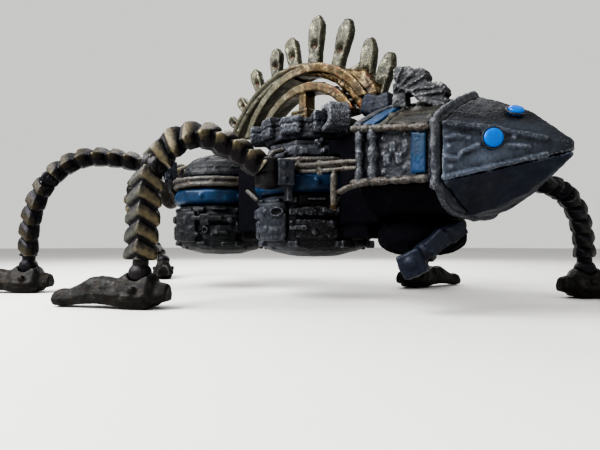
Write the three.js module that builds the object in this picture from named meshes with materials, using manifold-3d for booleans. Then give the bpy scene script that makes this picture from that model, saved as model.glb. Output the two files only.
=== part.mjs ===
// A tabletop walking machine: a wedge-headed hull on two round pods, a spiked crest over its back, and
// five jointed legs built as chains of chevron vertebrae.
// Millimetres, +X towards the nose, +Y to the machine's left, +Z up. Design coordinates put the front pod's
// axis at x = 0, y = 0 with the soles at z = 0; the whole group is then shifted to its box's bottom centre.
import * as THREE from "three";
import { mergeVertices } from "three/addons/utils/BufferGeometryUtils.js";
import Module from "manifold-3d";

const wasm = await Module();
wasm.setup();

const GAP = 0.3; // clearance between pieces that seat on each other

// Pods: two round bodies one behind the other.
const POD_RADIUS = 18.3;
const REAR_POD_X = -47.8;
const POD_BOTTOM = 11.5;
const WALL_BOTTOM = 15.7;
const SHOULDER_TOP = 29;
const BAND_TOP = 35;
const PIPES_TOP = 39;
const UPPER_TOP = 44.5;
const CROWN_TOP = 51.6;

// Neck and head.
const HALF_WIDTH = 18.2;
const NECK_BACK = 29.4;
const COLLAR_BACK = 48.9;
const COLLAR_FRONT = 50.7;
const NOSE_X = 69.8;

// Crest, standing on the centre plane.
const CREST = { x: -9, z: 35, radius: 36.5 };
const HOOP = { x: -3, z: 40, radius: 29.5 };
const INNER_ARCH = { x: -3, z: 41, radius: 23.4 };

// Legs.
const VERTEBRA_PITCH = 4.2;
const HIP_RADIUS = 3.4;
const HIP_HALF_HEIGHT = 4.2;
const KNEE_RADIUS = 3.1;
const KNEE_HALF_WIDTH = 4.1;
const ANKLE_RADIUS = 2.8;

// Each leg: its hip axis, the heading of its plane, where its foot points, how far its plates turn by the
// ankle, its scale, and its centreline as [distance from the hip, height] from hip to ankle.
const LEGS = {
  near_mid: {
    hip: [3.9, -21.9], heading: 244.2, toe: 215, twist: 67, scale: 1.0,
    line: [[0, 34], [4.8, 37.4], [8.8, 39.7], [12.7, 41.4], [16.4, 42.6], [22.6, 41.3], [27.4, 36.7], [30.2, 29.9],
      [31.25, 20], [31.9, 8]],
  },
  near_rear: {
    hip: [-59.7, -20.2], heading: 254.4, toe: 225, twist: 0, scale: 0.95,
    line: [[0, 42], [7, 44.4], [15.6, 45.4], [24.6, 44.4], [32, 39.6], [37, 32.5], [40, 22], [40.7, 8]],
  },
  far_front: {
    hip: [33.6, 23.8], heading: 45, toe: 45, twist: -15, scale: 0.9,
    line: [[0, 32.5], [8, 34.3], [17, 34.3], [25.5, 32.8], [31, 30.5], [35, 25.5], [37.2, 18], [37.8, 8]],
  },
  far_mid: {
    hip: [1.7, 22.5], heading: 72, toe: 77, twist: 25, scale: 0.95,
    line: [
      [0, 38.4], [8, 41], [20, 41.5], [32, 37.5], [40.5, 30], [42.8, 23.5], [38, 17.5], [30, 13], [22.5, 8],
    ],
  },
  far_rear: {
    hip: [-68.2, 8.2], heading: 196, toe: 150, twist: 0, scale: 0.95,
    line: [[0, 41], [8, 45.5], [21, 48], [35, 48.5], [45.5, 44], [48, 36], [44, 27], [36.5, 17.5], [27.5, 8]],
  },
};

const PAINT = {
  hull: { color: 0x3a3d46, roughness: 0.7, metalness: 0.25 },
  roof: { color: 0x4a4944, roughness: 0.65, metalness: 0.3 },
  trim: { color: 0x7c7c78, roughness: 0.55, metalness: 0.45 },
  enamel: { color: 0x1d5a86, roughness: 0.45, metalness: 0.1 },
  eye: { color: 0x0a78d8, roughness: 0.3, metalness: 0.0 },
  gold: { color: 0x8a6d3b, roughness: 0.5, metalness: 0.55 },
  pewter: { color: 0x6f716c, roughness: 0.6, metalness: 0.5 },
  bronze: { color: 0x5a4e38, roughness: 0.55, metalness: 0.5 },
  sole: { color: 0x2b2824, roughness: 0.6, metalness: 0.35 },
};

const radians = THREE.MathUtils.degToRad;
const vec = (x, y, z) => new THREE.Vector3(x, y, z);

// ---- Solids ---------------------------------------------------------------------------------------------

function toSolid(geometry) {
  const bare = new THREE.BufferGeometry();
  const source = geometry.index ? geometry.toNonIndexed() : geometry;
  bare.setAttribute("position", source.getAttribute("position"));
  const merged = mergeVertices(bare, 1e-4);
  const build = (triVerts) =>
    new wasm.Manifold(
      new wasm.Mesh({ numProp: 3, vertProperties: merged.attributes.position.array, triVerts }),
    );
  const corners = new Uint32Array(merged.index.array);
  const solid = build(corners);
  if (solid.volume() > 0) return solid;
  for (let i = 0; i < corners.length; i += 3) {
    [corners[i + 1], corners[i + 2]] = [corners[i + 2], corners[i + 1]];
  }
  return build(corners);
}

function toGeometry(solid) {
  const mesh = solid.getMesh();
  const positions = new Float32Array(mesh.numVert * 3);
  for (let i = 0; i < mesh.numVert; i++) {
    positions.set(mesh.vertProperties.subarray(i * mesh.numProp, i * mesh.numProp + 3), i * 3);
  }
  const geometry = new THREE.BufferGeometry();
  geometry.setAttribute("position", new THREE.BufferAttribute(positions, 3));
  geometry.setIndex(new THREE.BufferAttribute(new Uint32Array(mesh.triVerts), 1));
  geometry.computeVertexNormals();
  return geometry;
}

const join = (first, ...rest) =>
  toGeometry(rest.reduce((solid, other) => solid.add(toSolid(other)), toSolid(first)));
const cut = (first, ...rest) =>
  toGeometry(rest.reduce((solid, other) => solid.subtract(toSolid(other)), toSolid(first)));
const mirrored = (geometry) => toGeometry(toSolid(geometry.clone().scale(1, -1, 1)));

function box(x0, x1, y0, y1, z0, z1) {
  const geometry = new THREE.BoxGeometry(x1 - x0, y1 - y0, z1 - z0);
  return geometry.translate((x0 + x1) / 2, (y0 + y1) / 2, (z0 + z1) / 2);
}

// A solid of revolution about a vertical axis; the profile is [radius, height] from bottom to top.
function lathe(profile, x, y, segments = 32) {
  const points = profile.map(([r, z]) => new THREE.Vector2(r, z));
  return new THREE.LatheGeometry(points, segments).rotateX(Math.PI / 2).translate(x, y, 0);
}

// A ring of rectangular or bulged section about a vertical axis: the profile closes on itself.
const ringLathe = (profile, x, y, segments = 32) => lathe([...profile, profile[0]], x, y, segments);

// A closed solid through rings of equal length, with its ends closed by fans about their centres.
function loft(rings) {
  const count = rings[0].length;
  const positions = [];
  const triangle = (a, b, c) => positions.push(a.x, a.y, a.z, b.x, b.y, b.z, c.x, c.y, c.z);
  for (let i = 0; i + 1 < rings.length; i++) {
    for (let k = 0; k < count; k++) {
      const next = (k + 1) % count;
      triangle(rings[i][k], rings[i][next], rings[i + 1][next]);
      triangle(rings[i][k], rings[i + 1][next], rings[i + 1][k]);
    }
  }
  const centre = (ring) =>
    ring.reduce((sum, p) => sum.add(p), vec(0, 0, 0)).divideScalar(count);
  const first = rings[0];
  const last = rings[rings.length - 1];
  const firstCentre = centre(first);
  const lastCentre = centre(last);
  for (let k = 0; k < count; k++) {
    const next = (k + 1) % count;
    triangle(firstCentre, first[next], first[k]);
    triangle(lastCentre, last[k], last[next]);
  }
  const geometry = new THREE.BufferGeometry();
  geometry.setAttribute("position", new THREE.Float32BufferAttribute(positions, 3));
  return toGeometry(toSolid(geometry));
}

// A flat outline in the x-z plane, given as [x, z] points, made solid between two y values.
function slab(outline, y0, y1) {
  const shape = new THREE.Shape(outline.map(([x, z]) => new THREE.Vector2(x, z)));
  const geometry = new THREE.ExtrudeGeometry(shape, { depth: y1 - y0, bevelEnabled: false });
  return geometry.rotateX(Math.PI / 2).translate(0, y1, 0);
}

// An outline in the y-z plane made solid between two x values.
function slice(outline, x0, x1) {
  const rings = [x0, x1].map((x) => outline.map(([y, z]) => vec(x, y, z)));
  return loft(rings);
}

// A round bar along a list of points.
function bar(points, radius, sides = 8, steps = 8) {
  const circle = Array.from({ length: sides }, (_, k) => {
    const turn = (2 * Math.PI * k) / sides;
    return new THREE.Vector2(radius * Math.cos(turn), radius * Math.sin(turn));
  });
  const path =
    points.length === 2 ? new THREE.LineCurve3(...points) : new THREE.CatmullRomCurve3(points);
  return new THREE.ExtrudeGeometry(new THREE.Shape(circle), {
    steps: points.length === 2 ? 1 : steps,
    extrudePath: path,
    bevelEnabled: false,
  });
}

// An upright cylinder, or one lying along a direction.
function roller(centre, direction, radius, halfLength, sides = 16) {
  const geometry = new THREE.CylinderGeometry(radius, radius, 2 * halfLength, sides);
  geometry.applyQuaternion(
    new THREE.Quaternion().setFromUnitVectors(vec(0, 1, 0), direction.clone().normalize()),
  );
  return geometry.translate(centre.x, centre.y, centre.z);
}

// ---- Spine and pods -------------------------------------------------------------------------------------

const SPINE = { back: -62, front: 48, halfWidth: 4.5, bottom: 30.2, top: 33.8 };

function spineBar(clear = 0) {
  return box(
    SPINE.back - clear, SPINE.front + clear, -SPINE.halfWidth - clear, SPINE.halfWidth + clear,
    SPINE.bottom - clear, SPINE.top + clear,
  );
}

function spineFrame() {
  const hub = (x) => lathe([[0, SPINE.bottom], [11, SPINE.bottom], [11, SPINE.top], [0, SPINE.top]], x, 0, 24);
  return join(spineBar(), hub(0), hub(REAR_POD_X));
}

// The panelled lower shell: a domed bottom, a waist rib, a wall of twelve raised panels and a shoulder.
function podLower(x) {
  const shell = lathe(
    [[0, POD_BOTTOM], [7, POD_BOTTOM + 0.3], [13, POD_BOTTOM + 1.8], [16.6, WALL_BOTTOM - 0.4],
      [17.4, WALL_BOTTOM + 0.6], [17.4, 26.2], [16.6, 27.6], [15.4, SHOULDER_TOP], [0, SHOULDER_TOP]],
    x, 0, 30,
  );
  const panels = Array.from({ length: 10 }, (_, k) => {
    const plate = box(15.5, POD_RADIUS - 0.4, -3.9, 3.9, WALL_BOTTOM + 1.4, 25.6);
    return plate.rotateZ(radians(36 * k)).translate(x, 0, 0);
  });
  return join(shell, ...panels);
}

function podBand(x) {
  const ring = ringLathe(
    [[11.8, SHOULDER_TOP + GAP], [16.6, SHOULDER_TOP + GAP], [17.4, 30.4], [17.4, 33.8],
      [16.6, BAND_TOP - GAP], [11.8, BAND_TOP - GAP]],
    x, 0, 28,
  );
  return cut(ring, spineBar(GAP));
}

function podPipes(x) {
  return ringLathe(
    [[12, BAND_TOP], [16.9, BAND_TOP], [18, 35.6], [18.1, 36.4], [17.4, 37], [17.9, 37.6], [17.8, 38.4],
      [16.9, PIPES_TOP], [12, PIPES_TOP]],
    x, 0, 28,
  );
}

// The front pod's upper body: an octagon with a stepped lip.
function frontUpper() {
  const octagon = (radius, z) =>
    Array.from({ length: 8 }, (_, k) => {
      const turn = radians(22.5 + 45 * k);
      return vec(radius * Math.cos(turn), radius * Math.sin(turn), z);
    });
  return loft([
    octagon(14.6, PIPES_TOP + GAP), octagon(14.8, 42.6), octagon(13.8, 43.2), octagon(13.8, UPPER_TOP - GAP),
  ]);
}

// The crown: a disc carrying ten blocks of alternating height, and a longer one over the right rear.
function frontCrown() {
  const disc = lathe([[0, UPPER_TOP], [14.4, UPPER_TOP], [14.4, 50.2], [0, 50.2]], 0, 0, 30);
  const blocks = Array.from({ length: 10 }, (_, k) => {
    const top = k % 2 ? CROWN_TOP : CROWN_TOP - 0.9;
    const block = box(10.5, k % 2 ? 16.4 : 15.8, -3.3, 3.3, UPPER_TOP + 0.9, top);
    return block.rotateZ(radians(36 * k));
  });
  const outrigger = box(10.5, 19.2, -3.6, 3.6, UPPER_TOP + 1.1, CROWN_TOP - 0.9).rotateZ(radians(222));
  return join(disc, ...blocks, outrigger);
}

// A hooked clamp that grips the crown's front right edge.
function hookClamp() {
  const outline = [
    [-2, 45.2], [3.2, 45.2], [4.6, 46.6], [4.6, 50.2], [3, 52.2], [-2, 52.2], [-2, 50.4], [1.6, 50.2],
    [2.4, 49], [2.4, 47.6], [1.4, 46.8], [-2, 46.8],
  ];
  return slab(outline, -3, 3).rotateZ(radians(-30)).translate(19 * Math.cos(radians(30)), -9.5, 0);
}

function rearCap() {
  return lathe(
    [[0, PIPES_TOP + GAP], [14.6, PIPES_TOP + GAP], [14.6, 41], [12.6, 44.4], [9, 47], [4.6, 48.6], [0, 49]],
    REAR_POD_X, 0, 30,
  );
}

// A flared nozzle rim on the rear pod, between its two hips.
const TAIL_HEADING = 205;

function tailFlange() {
  const profile = [[0, 0], [5, 0], [5, 2], [7, 4.6], [7, 5.8], [5.6, 5.8], [4.4, 3.8], [0, 3.8]];
  return lathe(profile, 0, 0, 24)
    .rotateY(radians(90))
    .translate(POD_RADIUS + GAP, 0, 36.4)
    .rotateZ(radians(TAIL_HEADING))
    .translate(REAR_POD_X, 0, 0);
}

// Round pod slung under the neck.
const BELLY = { x: 36.5, radius: 10.6, bottom: 12.3 };

function bellyPod() {
  return lathe(
    [[0, BELLY.bottom], [5, BELLY.bottom + 0.4], [8.6, BELLY.bottom + 2], [BELLY.radius, 15.6],
      [BELLY.radius, 18.4], [9, 20.2], [8.4, 20.6], [0, 20.6]],
    BELLY.x, 0, 24,
  );
}

// A bent strut that hugs the belly pod's right side and ends in a knuckle above the table.
function bellyStrut() {
  const around = (angle, radius, z) =>
    vec(BELLY.x + radius * Math.cos(radians(angle)), radius * Math.sin(radians(angle)), z);
  const arm = bar(
    [around(-22, 13.3, 18.7), around(-36, 13.4, 17.3), around(-52, 13.5, 14.7), around(-68, 13.6, 11.6)],
    2.1, 10, 10,
  );
  const knuckle = new THREE.SphereGeometry(3, 12, 8)
    .scale(1.1, 0.8, 1)
    .translate(...around(-68, 13.9, 10.8).toArray());
  return cut(join(arm, knuckle), lathe([[0, 5], [10.9, 5], [10.9, 24], [0, 24]], BELLY.x, 0, 36));
}

// Blocks that carry the spine across the gaps: one between the pods, one between the front pod and the neck.
function podBridge() {
  const block = box(REAR_POD_X + 8, -8, -6, 6, 19.5, 41.5);
  return cut(block, podEnvelope(0), podEnvelope(REAR_POD_X), spineBar(GAP));
}

function neckBulkhead() {
  const block = join(
    box(9, NECK_BACK - GAP, -8, 8, 20.7, 43.4),
    box(9, BELLY.x - BELLY.radius - 0.5, -7, 7, 16.8, 22),
  );
  return cut(block, podEnvelope(0), spineBar(GAP));
}

// The room a pod takes, grown by the seating gap.
function podEnvelope(x) {
  const grow = POD_RADIUS + GAP;
  const profile = [
    [0, 10], [grow, 10], [grow, PIPES_TOP + GAP], [15.2, PIPES_TOP + GAP], [15.2, 45], [0, 45],
  ];
  return lathe(profile, x, 0, 36);
}

// ---- Neck -----------------------------------------------------------------------------------------------

const along = (x, from, to) => from + ((to - from) * (x - NECK_BACK)) / (COLLAR_BACK - NECK_BACK);
const sideTop = (x) => along(x, 42.6, 39.6);
const ridgeTop = (x) => along(x, 51.2, 48.9);
const sideBottom = (x) => along(x, 28.8, 27.8);

// Height of a roof slope over its eave as a share of the ridge's, at a share of the half-width.
const SLOPE_BULGE = 0.35;
const slopeHeight = (share) => (1 - share) * (1 + SLOPE_BULGE * share);

// Points of the roof line at one station, from the right eave over the ridge to the left eave.
function archLine(x, inset) {
  return Array.from({ length: 13 }, (_, k) => {
    const share = Math.cos(Math.PI * (1 - k / 12));
    const rise = ridgeTop(x) - sideTop(x) - inset;
    return vec(x, (HALF_WIDTH - inset) * share, sideTop(x) + rise * slopeHeight(Math.abs(share)));
  });
}

function archShell(x0, x1, proud = 0, thickness = 2.2) {
  const ring = (x) => [...archLine(x, -proud), ...archLine(x, thickness).reverse()];
  const rings = [ring(x0), ring(x1)];
  const count = rings[0].length;
  const half = count / 2;
  const positions = [];
  const triangle = (a, b, c) => positions.push(a.x, a.y, a.z, b.x, b.y, b.z, c.x, c.y, c.z);
  for (let k = 0; k < count; k++) {
    const next = (k + 1) % count;
    triangle(rings[0][k], rings[1][next], rings[0][next]);
    triangle(rings[0][k], rings[1][k], rings[1][next]);
  }
  for (let k = 0; k + 1 < half; k++) {
    const inner = count - 1 - k;
    triangle(rings[0][k], rings[0][k + 1], rings[0][inner - 1]);
    triangle(rings[0][k], rings[0][inner - 1], rings[0][inner]);
    triangle(rings[1][k], rings[1][inner - 1], rings[1][k + 1]);
    triangle(rings[1][k], rings[1][inner], rings[1][inner - 1]);
  }
  const geometry = new THREE.BufferGeometry();
  geometry.setAttribute("position", new THREE.Float32BufferAttribute(positions, 3));
  return toGeometry(toSolid(geometry));
}

function neckCore() {
  const ring = (x) => {
    const arch = archLine(x, 2.2 + GAP);
    return [vec(x, -15.4, sideBottom(x)), vec(x, -15.4, sideTop(x)), ...arch.slice(1, -1),
      vec(x, 15.4, sideTop(x)), vec(x, 15.4, sideBottom(x))];
  };
  return cut(loft([ring(NECK_BACK + 0.6), ring(COLLAR_BACK - GAP)]), spineBar(GAP));
}

function neckSide() {
  const outline = [
    [NECK_BACK, sideBottom(NECK_BACK)], [COLLAR_BACK - GAP, sideBottom(COLLAR_BACK)],
    [COLLAR_BACK - GAP, sideTop(COLLAR_BACK) - GAP], [NECK_BACK, sideTop(NECK_BACK) - GAP],
  ];
  return slab(outline, 15.7, 17.4);
}

function neckSideBand() {
  const [back, front, inset] = [44.6, 48, 1.7];
  const outline = [
    [back, sideBottom(back) + inset], [front, sideBottom(front) + inset],
    [front, sideTop(front) - inset], [back, sideTop(back) - inset],
  ];
  return slab(outline, 17.7, 18.4);
}

// Rails along the top and bottom of the side, joined by two posts.
function neckRail() {
  const y = 18.6;
  const rail = (level, radius) =>
    bar([vec(NECK_BACK, y, level(NECK_BACK)), vec(COLLAR_BACK - GAP, y, level(COLLAR_BACK))], radius);
  const post = (x, radius) =>
    bar([vec(x, y, sideBottom(x) + 0.6), vec(x, y, sideTop(x) - 0.9)], radius);
  const top = rail((x) => sideTop(x) - 0.9, 0.85);
  const bottom = rail((x) => sideBottom(x) + 0.5, 0.85);
  return join(top, bottom, post(31.4, 0.75), post(35.1, 0.85), post(43.9, 0.4));
}

// The boat-shaped floor under the neck.
function neckFloor() {
  const ring = (x) => {
    const keel = along(x, 21.5, 21.2);
    return [vec(x, -17.2, sideBottom(x) - GAP), vec(x, 17.2, sideBottom(x) - GAP),
      vec(x, 12, keel + 0.8), vec(x, 0, keel), vec(x, -12, keel + 0.8)];
  };
  return loft([ring(NECK_BACK + 0.4), ring(COLLAR_BACK - GAP)]);
}

// ---- Head -----------------------------------------------------------------------------------------------

// Stations along the head: [x, half-width, ridge, side top, side bottom, keel].
const HEAD = [
  [COLLAR_FRONT + GAP, 17.5, 48.5, 39.4, 28, 21.3],
  [55.7, 13.1, 46.3, 38.6, 29.4, 22.6],
  [61.8, 7.6, 43, 37.3, 31.2, 25.8],
  [66.4, 3.5, 38.9, 36, 32.6, 29.6],
  [NOSE_X, 0.5, 35.5, 34.9, 33.6, 33.1],
];

// A raised, slightly rounded roof over upright sides.
function headShell() {
  return loft(
    HEAD.map(([x, half, ridge, top, bottom]) => {
      const rise = ridge - top;
      const slope = [[1, 0], [0.72, 0.35], [0.36, 0.7]].map(([y, z]) => vec(x, y * half, top + z * rise));
      const left = [vec(x, half, bottom), ...slope];
      const right = left.map((p) => vec(p.x, -p.y, p.z)).reverse();
      return [...left, vec(x, 0, ridge), ...right];
    }),
  );
}

// The faceted lower jaw, ending in a blunt keel.
function headKeel() {
  return loft(
    HEAD.map(([x, half, , , bottom, keel]) => {
      const lid = bottom - GAP;
      const low = Math.min(keel, lid - 0.4);
      return [vec(x, -half, lid), vec(x, half, lid), vec(x, 0.28 * half, low), vec(x, -0.28 * half, low)];
    }),
  );
}

// A framed rib between neck and head, standing proud of both.
function collarRib() {
  const x = (COLLAR_BACK + COLLAR_FRONT) / 2;
  const rib = archShell(COLLAR_BACK, COLLAR_FRONT, 0.9, 2.4);
  const side = (sign) =>
    box(COLLAR_BACK, COLLAR_FRONT, Math.min(sign * 15.9, sign * 19.1), Math.max(sign * 15.9, sign * 19.1),
      sideBottom(x) - 1, sideTop(x) + 0.4);
  const sill = slice(
    [[-19.1, sideBottom(x) - 1], [-19.1, sideBottom(x) + 1.4], [19.1, sideBottom(x) + 1.4],
      [19.1, sideBottom(x) - 1], [12.6, 22.4], [0, 20.6], [-12.6, 22.4]],
    COLLAR_BACK, COLLAR_FRONT,
  );
  return join(rib, side(1), side(-1), sill);
}

// Round eyes standing on the head's left faces; the right ones are their mirror images.
const EYE_SIDE = { x: 58.3, z: 36.0, radius: 2.05 };
const EYE_TOP = { x: 59.9, y: 3.1, z: 42.25, radius: 1.75 };
const SIDE_NORMAL = vec(0.667, 0.745, 0).normalize();
const TOP_NORMAL = vec(0.473, 0.44, 0.763).normalize();

function eyeDisc(centre, normal, radius) {
  return roller(centre, normal, radius, 0.4, 18);
}

// ---- Crest ----------------------------------------------------------------------------------------------

// Points [x, z] on an arc from one angle to another, in degrees from +X.
function arc(circle, radius, from, to, count) {
  return Array.from({ length: count }, (_, k) => {
    const turn = radians(from + ((to - from) * k) / (count - 1));
    return [circle.x + radius * Math.cos(turn), circle.z + radius * Math.sin(turn)];
  });
}

function arch(circle, outer, inner, from, to, y, count = 25) {
  return slab([...arc(circle, outer, from, to, count), ...arc(circle, inner, to, from, count)], -y, y);
}

// Spikes as [angle of the foot, angle of the tip, radius at the tip, half-width], from the tail to the nose.
const SPIKES = [
  [141, 141, 42.8, 1.5], [130, 130, 42.8, 1.7], [115.8, 115.3, 45.4, 1.9], [102.5, 100, 45.8, 2.2],
  [87, 91.6, 46.4, 2.4], [74, 77.7, 50.6, 2.6], [58.5, 62.8, 49.8, 2.3], [35, 50.3, 47.4, 2.1],
  [26, 39.5, 48, 2],
];

// A waisted paddle standing on the crest's rim, leaning as its foot and tip say.
function spike([footAngle, tipAngle, tipRadius, half]) {
  const [footX, footZ] = arc(CREST, CREST.radius - 2, footAngle, footAngle, 2)[0];
  const [tipX, tipZ] = arc(CREST, tipRadius, tipAngle, tipAngle, 2)[0];
  const top = Math.hypot(tipX - footX, tipZ - footZ);
  const edge = [[0, 0.85], [0.15, 0.78], [0.38, 0.97], [0.6, 1], [0.79, 0.95], [0.92, 0.62], [1, 0.3]];
  const outline = [
    ...edge.map(([share, width]) => [share * top, -width * half]),
    ...edge.reverse().map(([share, width]) => [share * top, width * half]),
  ];
  return slab(outline, -1.6, 1.6)
    .rotateY(-Math.atan2(tipZ - footZ, tipX - footX))
    .translate(footX, 0, footZ);
}

function crestRing() {
  const band = arch(CREST, CREST.radius, CREST.radius - 4.2, 31, 157, 2.2);
  const saddle = box(20, NECK_BACK - GAP, -3.2, 3.2, 49.6, 54.6);
  return join(band, saddle, ...SPIKES.map(spike));
}

function crestHoop() {
  const rim = arch(HOOP, HOOP.radius, HOOP.radius - 2.6, 20.5, 159.5, 3.4);
  return cut(rim, box(-60, 60, -8, 8, 40, CROWN_TOP + 0.2), box(19.7, 40, -8, 8, 40, 54.9), crestClearance());
}

// Room for the crest ring where the hoop would cross it.
const crestClearance = () => arch(CREST, CREST.radius + 1, CREST.radius - 4.2 - GAP, 25, 165, 2.2 + GAP, 33);

function innerArch() {
  const ring = arch(INNER_ARCH, INNER_ARCH.radius, INNER_ARCH.radius - 2.8, 30, 150, 2.6, 19);
  const block = box(-6.4, 0.4, -3.6, 3.6, CROWN_TOP + GAP, 56.2);
  const stem = box(-4.6, -1.4, -2.2, 2.2, 55.8, 61.6);
  const feet = [-1, 1].map((side) =>
    box(INNER_ARCH.x + side * 16.4 - 2.6, INNER_ARCH.x + side * 16.4 + 2.6, -2.6, 2.6, CROWN_TOP + GAP, 54));
  return cut(
    join(ring, block, stem, ...feet),
    box(-60, 60, -8, 8, 30, CROWN_TOP + GAP),
    arch(HOOP, HOOP.radius + GAP, HOOP.radius - 2.6 - GAP, 5, 175, 3.4 + GAP, 33),
  );
}

// A thick scalloped plate on the right roof slope, with lobes stepping down towards the head.
function foliagePlate() {
  const outline = [
    [34, 54.8], [34, 56.8], [35.1, 57.5], [37.8, 56.8], [39.5, 55.4], [40.7, 55.6], [42.2, 54.8], [43, 53.4],
    [42.8, 52.1], [44.2, 51.2], [46.1, 50.8], [47.4, 49.4], [47.6, 48.2], [46.8, 47.6], [48.3, 46.6],
    [47.7, 44.9], [46.1, 45.1], [43.7, 46.3], [41.2, 48], [38.6, 50.2], [36.5, 51.4], [35.1, 52.9],
  ];
  const bracket = box(33.6, 37.2, -8.4, -6, 46, 53.6);
  const plate = join(slab(outline, -8.6, -5.8), bracket);
  return cut(plate, loft([26, 48.8].map((x) => archLine(x, -GAP))));
}

// ---- Legs -----------------------------------------------------------------------------------------------

// A leg's centreline and the frame at any share of its length: tangent, sideways and outward directions.
function legPath(leg) {
  const heading = radians(leg.heading);
  const out = vec(Math.cos(heading), Math.sin(heading), 0);
  const start = vec(leg.hip[0], leg.hip[1], 0);
  const points = leg.line.map(([r, z]) => start.clone().addScaledVector(out, r).setZ(z));
  const curve = new THREE.CatmullRomCurve3(points, false, "centripetal");
  curve.arcLengthDivisions = 400;
  const across = vec(-out.y, out.x, 0);
  const frameAt = (share) => {
    const tangent = curve.getTangentAt(share);
    const turned = THREE.MathUtils.smoothstep(share, 0.2, 0.75) * radians(leg.twist);
    const side = across.clone().applyAxisAngle(tangent, -turned);
    return { point: curve.getPointAt(share), tangent, side, outward: tangent.clone().cross(side) };
  };
  return { length: curve.getLength(), frameAt };
}

// Outline of a vertebra seen along the leg: a roofed back, square flanks and a narrow belly.
const VERTEBRA = [[0, 3.7], [4.6, 0.9], [4.0, -1.4], [2.1, -3.1], [-2.1, -3.1], [-4.0, -1.4], [-4.6, 0.9]];

// Vertebrae from one distance along the leg to another, in millimetres.
function chain(path, scale, from, to) {
  const count = Math.max(1, Math.round((to - from) / VERTEBRA_PITCH));
  const step = (to - from) / count;
  const stations = [];
  for (let k = 0; k < count; k++) {
    stations.push([from + k * step, 0.8], [from + (k + 0.3) * step, 1], [from + (k + 0.78) * step, 1.04]);
  }
  stations.push([to, 0.8]);
  return loft(
    stations.map(([s, size]) => {
      const { point, side, outward } = path.frameAt(s / path.length);
      const taper = scale * size * (1.04 - 0.16 * (s / path.length));
      return VERTEBRA.map(([b, n]) =>
        point.clone().addScaledVector(side, b * taper).addScaledVector(outward, n * taper));
    }),
  );
}

// The distances along a leg where its joints sit.
const KNEE_SHARE = 0.56;
const END_TRIM = 1.3;

function legParts(leg) {
  const path = legPath(leg);
  const kneeAt = KNEE_SHARE * path.length;
  const hip = path.frameAt(0).point;
  const knee = path.frameAt(KNEE_SHARE);
  const ankle = path.frameAt(1);
  const kneeRoll = (extra, half) => roller(knee.point, knee.side, KNEE_RADIUS + extra, half);
  const ball = (extra) =>
    new THREE.SphereGeometry(ANKLE_RADIUS + extra, 10, 7).translate(...ankle.point.toArray());
  const upper = join(
    chain(path, leg.scale, 2.4, kneeAt - END_TRIM),
    roller(hip, vec(0, 0, 1), HIP_RADIUS, HIP_HALF_HEIGHT),
    kneeRoll(0, KNEE_HALF_WIDTH * leg.scale),
  );
  const lower = join(
    cut(chain(path, leg.scale, kneeAt + END_TRIM, path.length - 3), kneeRoll(GAP, 8)),
    roller(ankle.point.clone().addScaledVector(ankle.tangent, -2.2), ankle.tangent, 1.9, 1.9, 10),
    ball(0),
  );
  const toe = radians(leg.toe);
  const foot = cut(footSolid().rotateZ(toe).translate(ankle.point.x, ankle.point.y, 0), ball(GAP),
    ankleWay(ankle));
  const pitch = vec(-Math.sin(toe), Math.cos(toe), 0);
  return {
    upper, lower, foot,
    joints: {
      hip: { at: hip, axis: vec(0, 0, 1) },
      knee: { at: knee.point, axis: knee.side },
      ankle: { at: ankle.point, axis: pitch },
    },
  };
}

// The cone round the shin's end that lets the foot tip.
function ankleWay(ankle) {
  const cone = new THREE.CylinderGeometry(7.2, 2.4, 8, 12).translate(0, 4.4, 0);
  const up = ankle.tangent.clone().negate();
  cone.applyQuaternion(new THREE.Quaternion().setFromUnitVectors(vec(0, 1, 0), up));
  return cone.translate(ankle.point.x, ankle.point.y, ankle.point.z);
}

// A shoe-like foot: a raised heel stub, a cuff round the ankle, a humped instep and a slim knobbed toe.
// Stations as [distance towards the toe, sole height, top height, half-width].
const FOOT = [
  [-7.4, 1.6, 5.8, 2.2], [-4.6, 1.0, 6.4, 3.0], [-3.2, 0, 8.6, 4.3], [3.2, 0, 8.6, 4.3], [5.8, 0.5, 7, 3.8],
  [10, 0.8, 7.6, 3.4], [13, 0.7, 7.2, 3], [16, 0.5, 5.6, 2.6], [18.8, 0, 4.3, 2.3], [20.4, 0, 4.4, 2.7],
  [22.4, 0.2, 3.9, 2.4], [23.4, 1.0, 3.0, 1.5],
];

function footSolid() {
  return loft(
    FOOT.map(([u, sole, top, half]) => {
      const rise = top - sole;
      return [
        vec(u, -0.8 * half, sole), vec(u, 0.8 * half, sole), vec(u, half, sole + 0.35 * rise),
        vec(u, 0.55 * half, top - 0.12 * rise), vec(u, 0, top), vec(u, -0.55 * half, top - 0.12 * rise),
        vec(u, -half, sole + 0.35 * rise),
      ];
    }),
  );
}

// A cupped bracket that carries a hip roller on the hull's side, reaching back by a given length.
function hipBracket({ hip, heading, height }, reach) {
  const cup = box(-reach, -1.6, -4.6, 4.6, height - 3.4, height + 3.4);
  const web = box(-reach, -HIP_RADIUS - 1, -3, 3, height - 7.4, height + 3.4);
  const bracket = cut(
    join(cup, web),
    roller(vec(0, 0, height), vec(0, 0, 1), HIP_RADIUS + GAP, 9),
  );
  return bracket.rotateZ(radians(heading)).translate(hip[0], hip[1], 0);
}

// ---- Assembly -------------------------------------------------------------------------------------------

const machine = new THREE.Group();
machine.name = "walker";

function add(name, geometry, paint) {
  const mesh = new THREE.Mesh(geometry, new THREE.MeshStandardMaterial(PAINT[paint]));
  mesh.name = name;
  machine.add(mesh);
  return mesh;
}

function addPair(name, leftGeometry, paint) {
  add(name + "_left", leftGeometry, paint);
  add(name + "_right", mirrored(leftGeometry), paint);
}

const neckEnvelope = () => box(20, 52, -19.8, 19.8, 15, 60);

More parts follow.
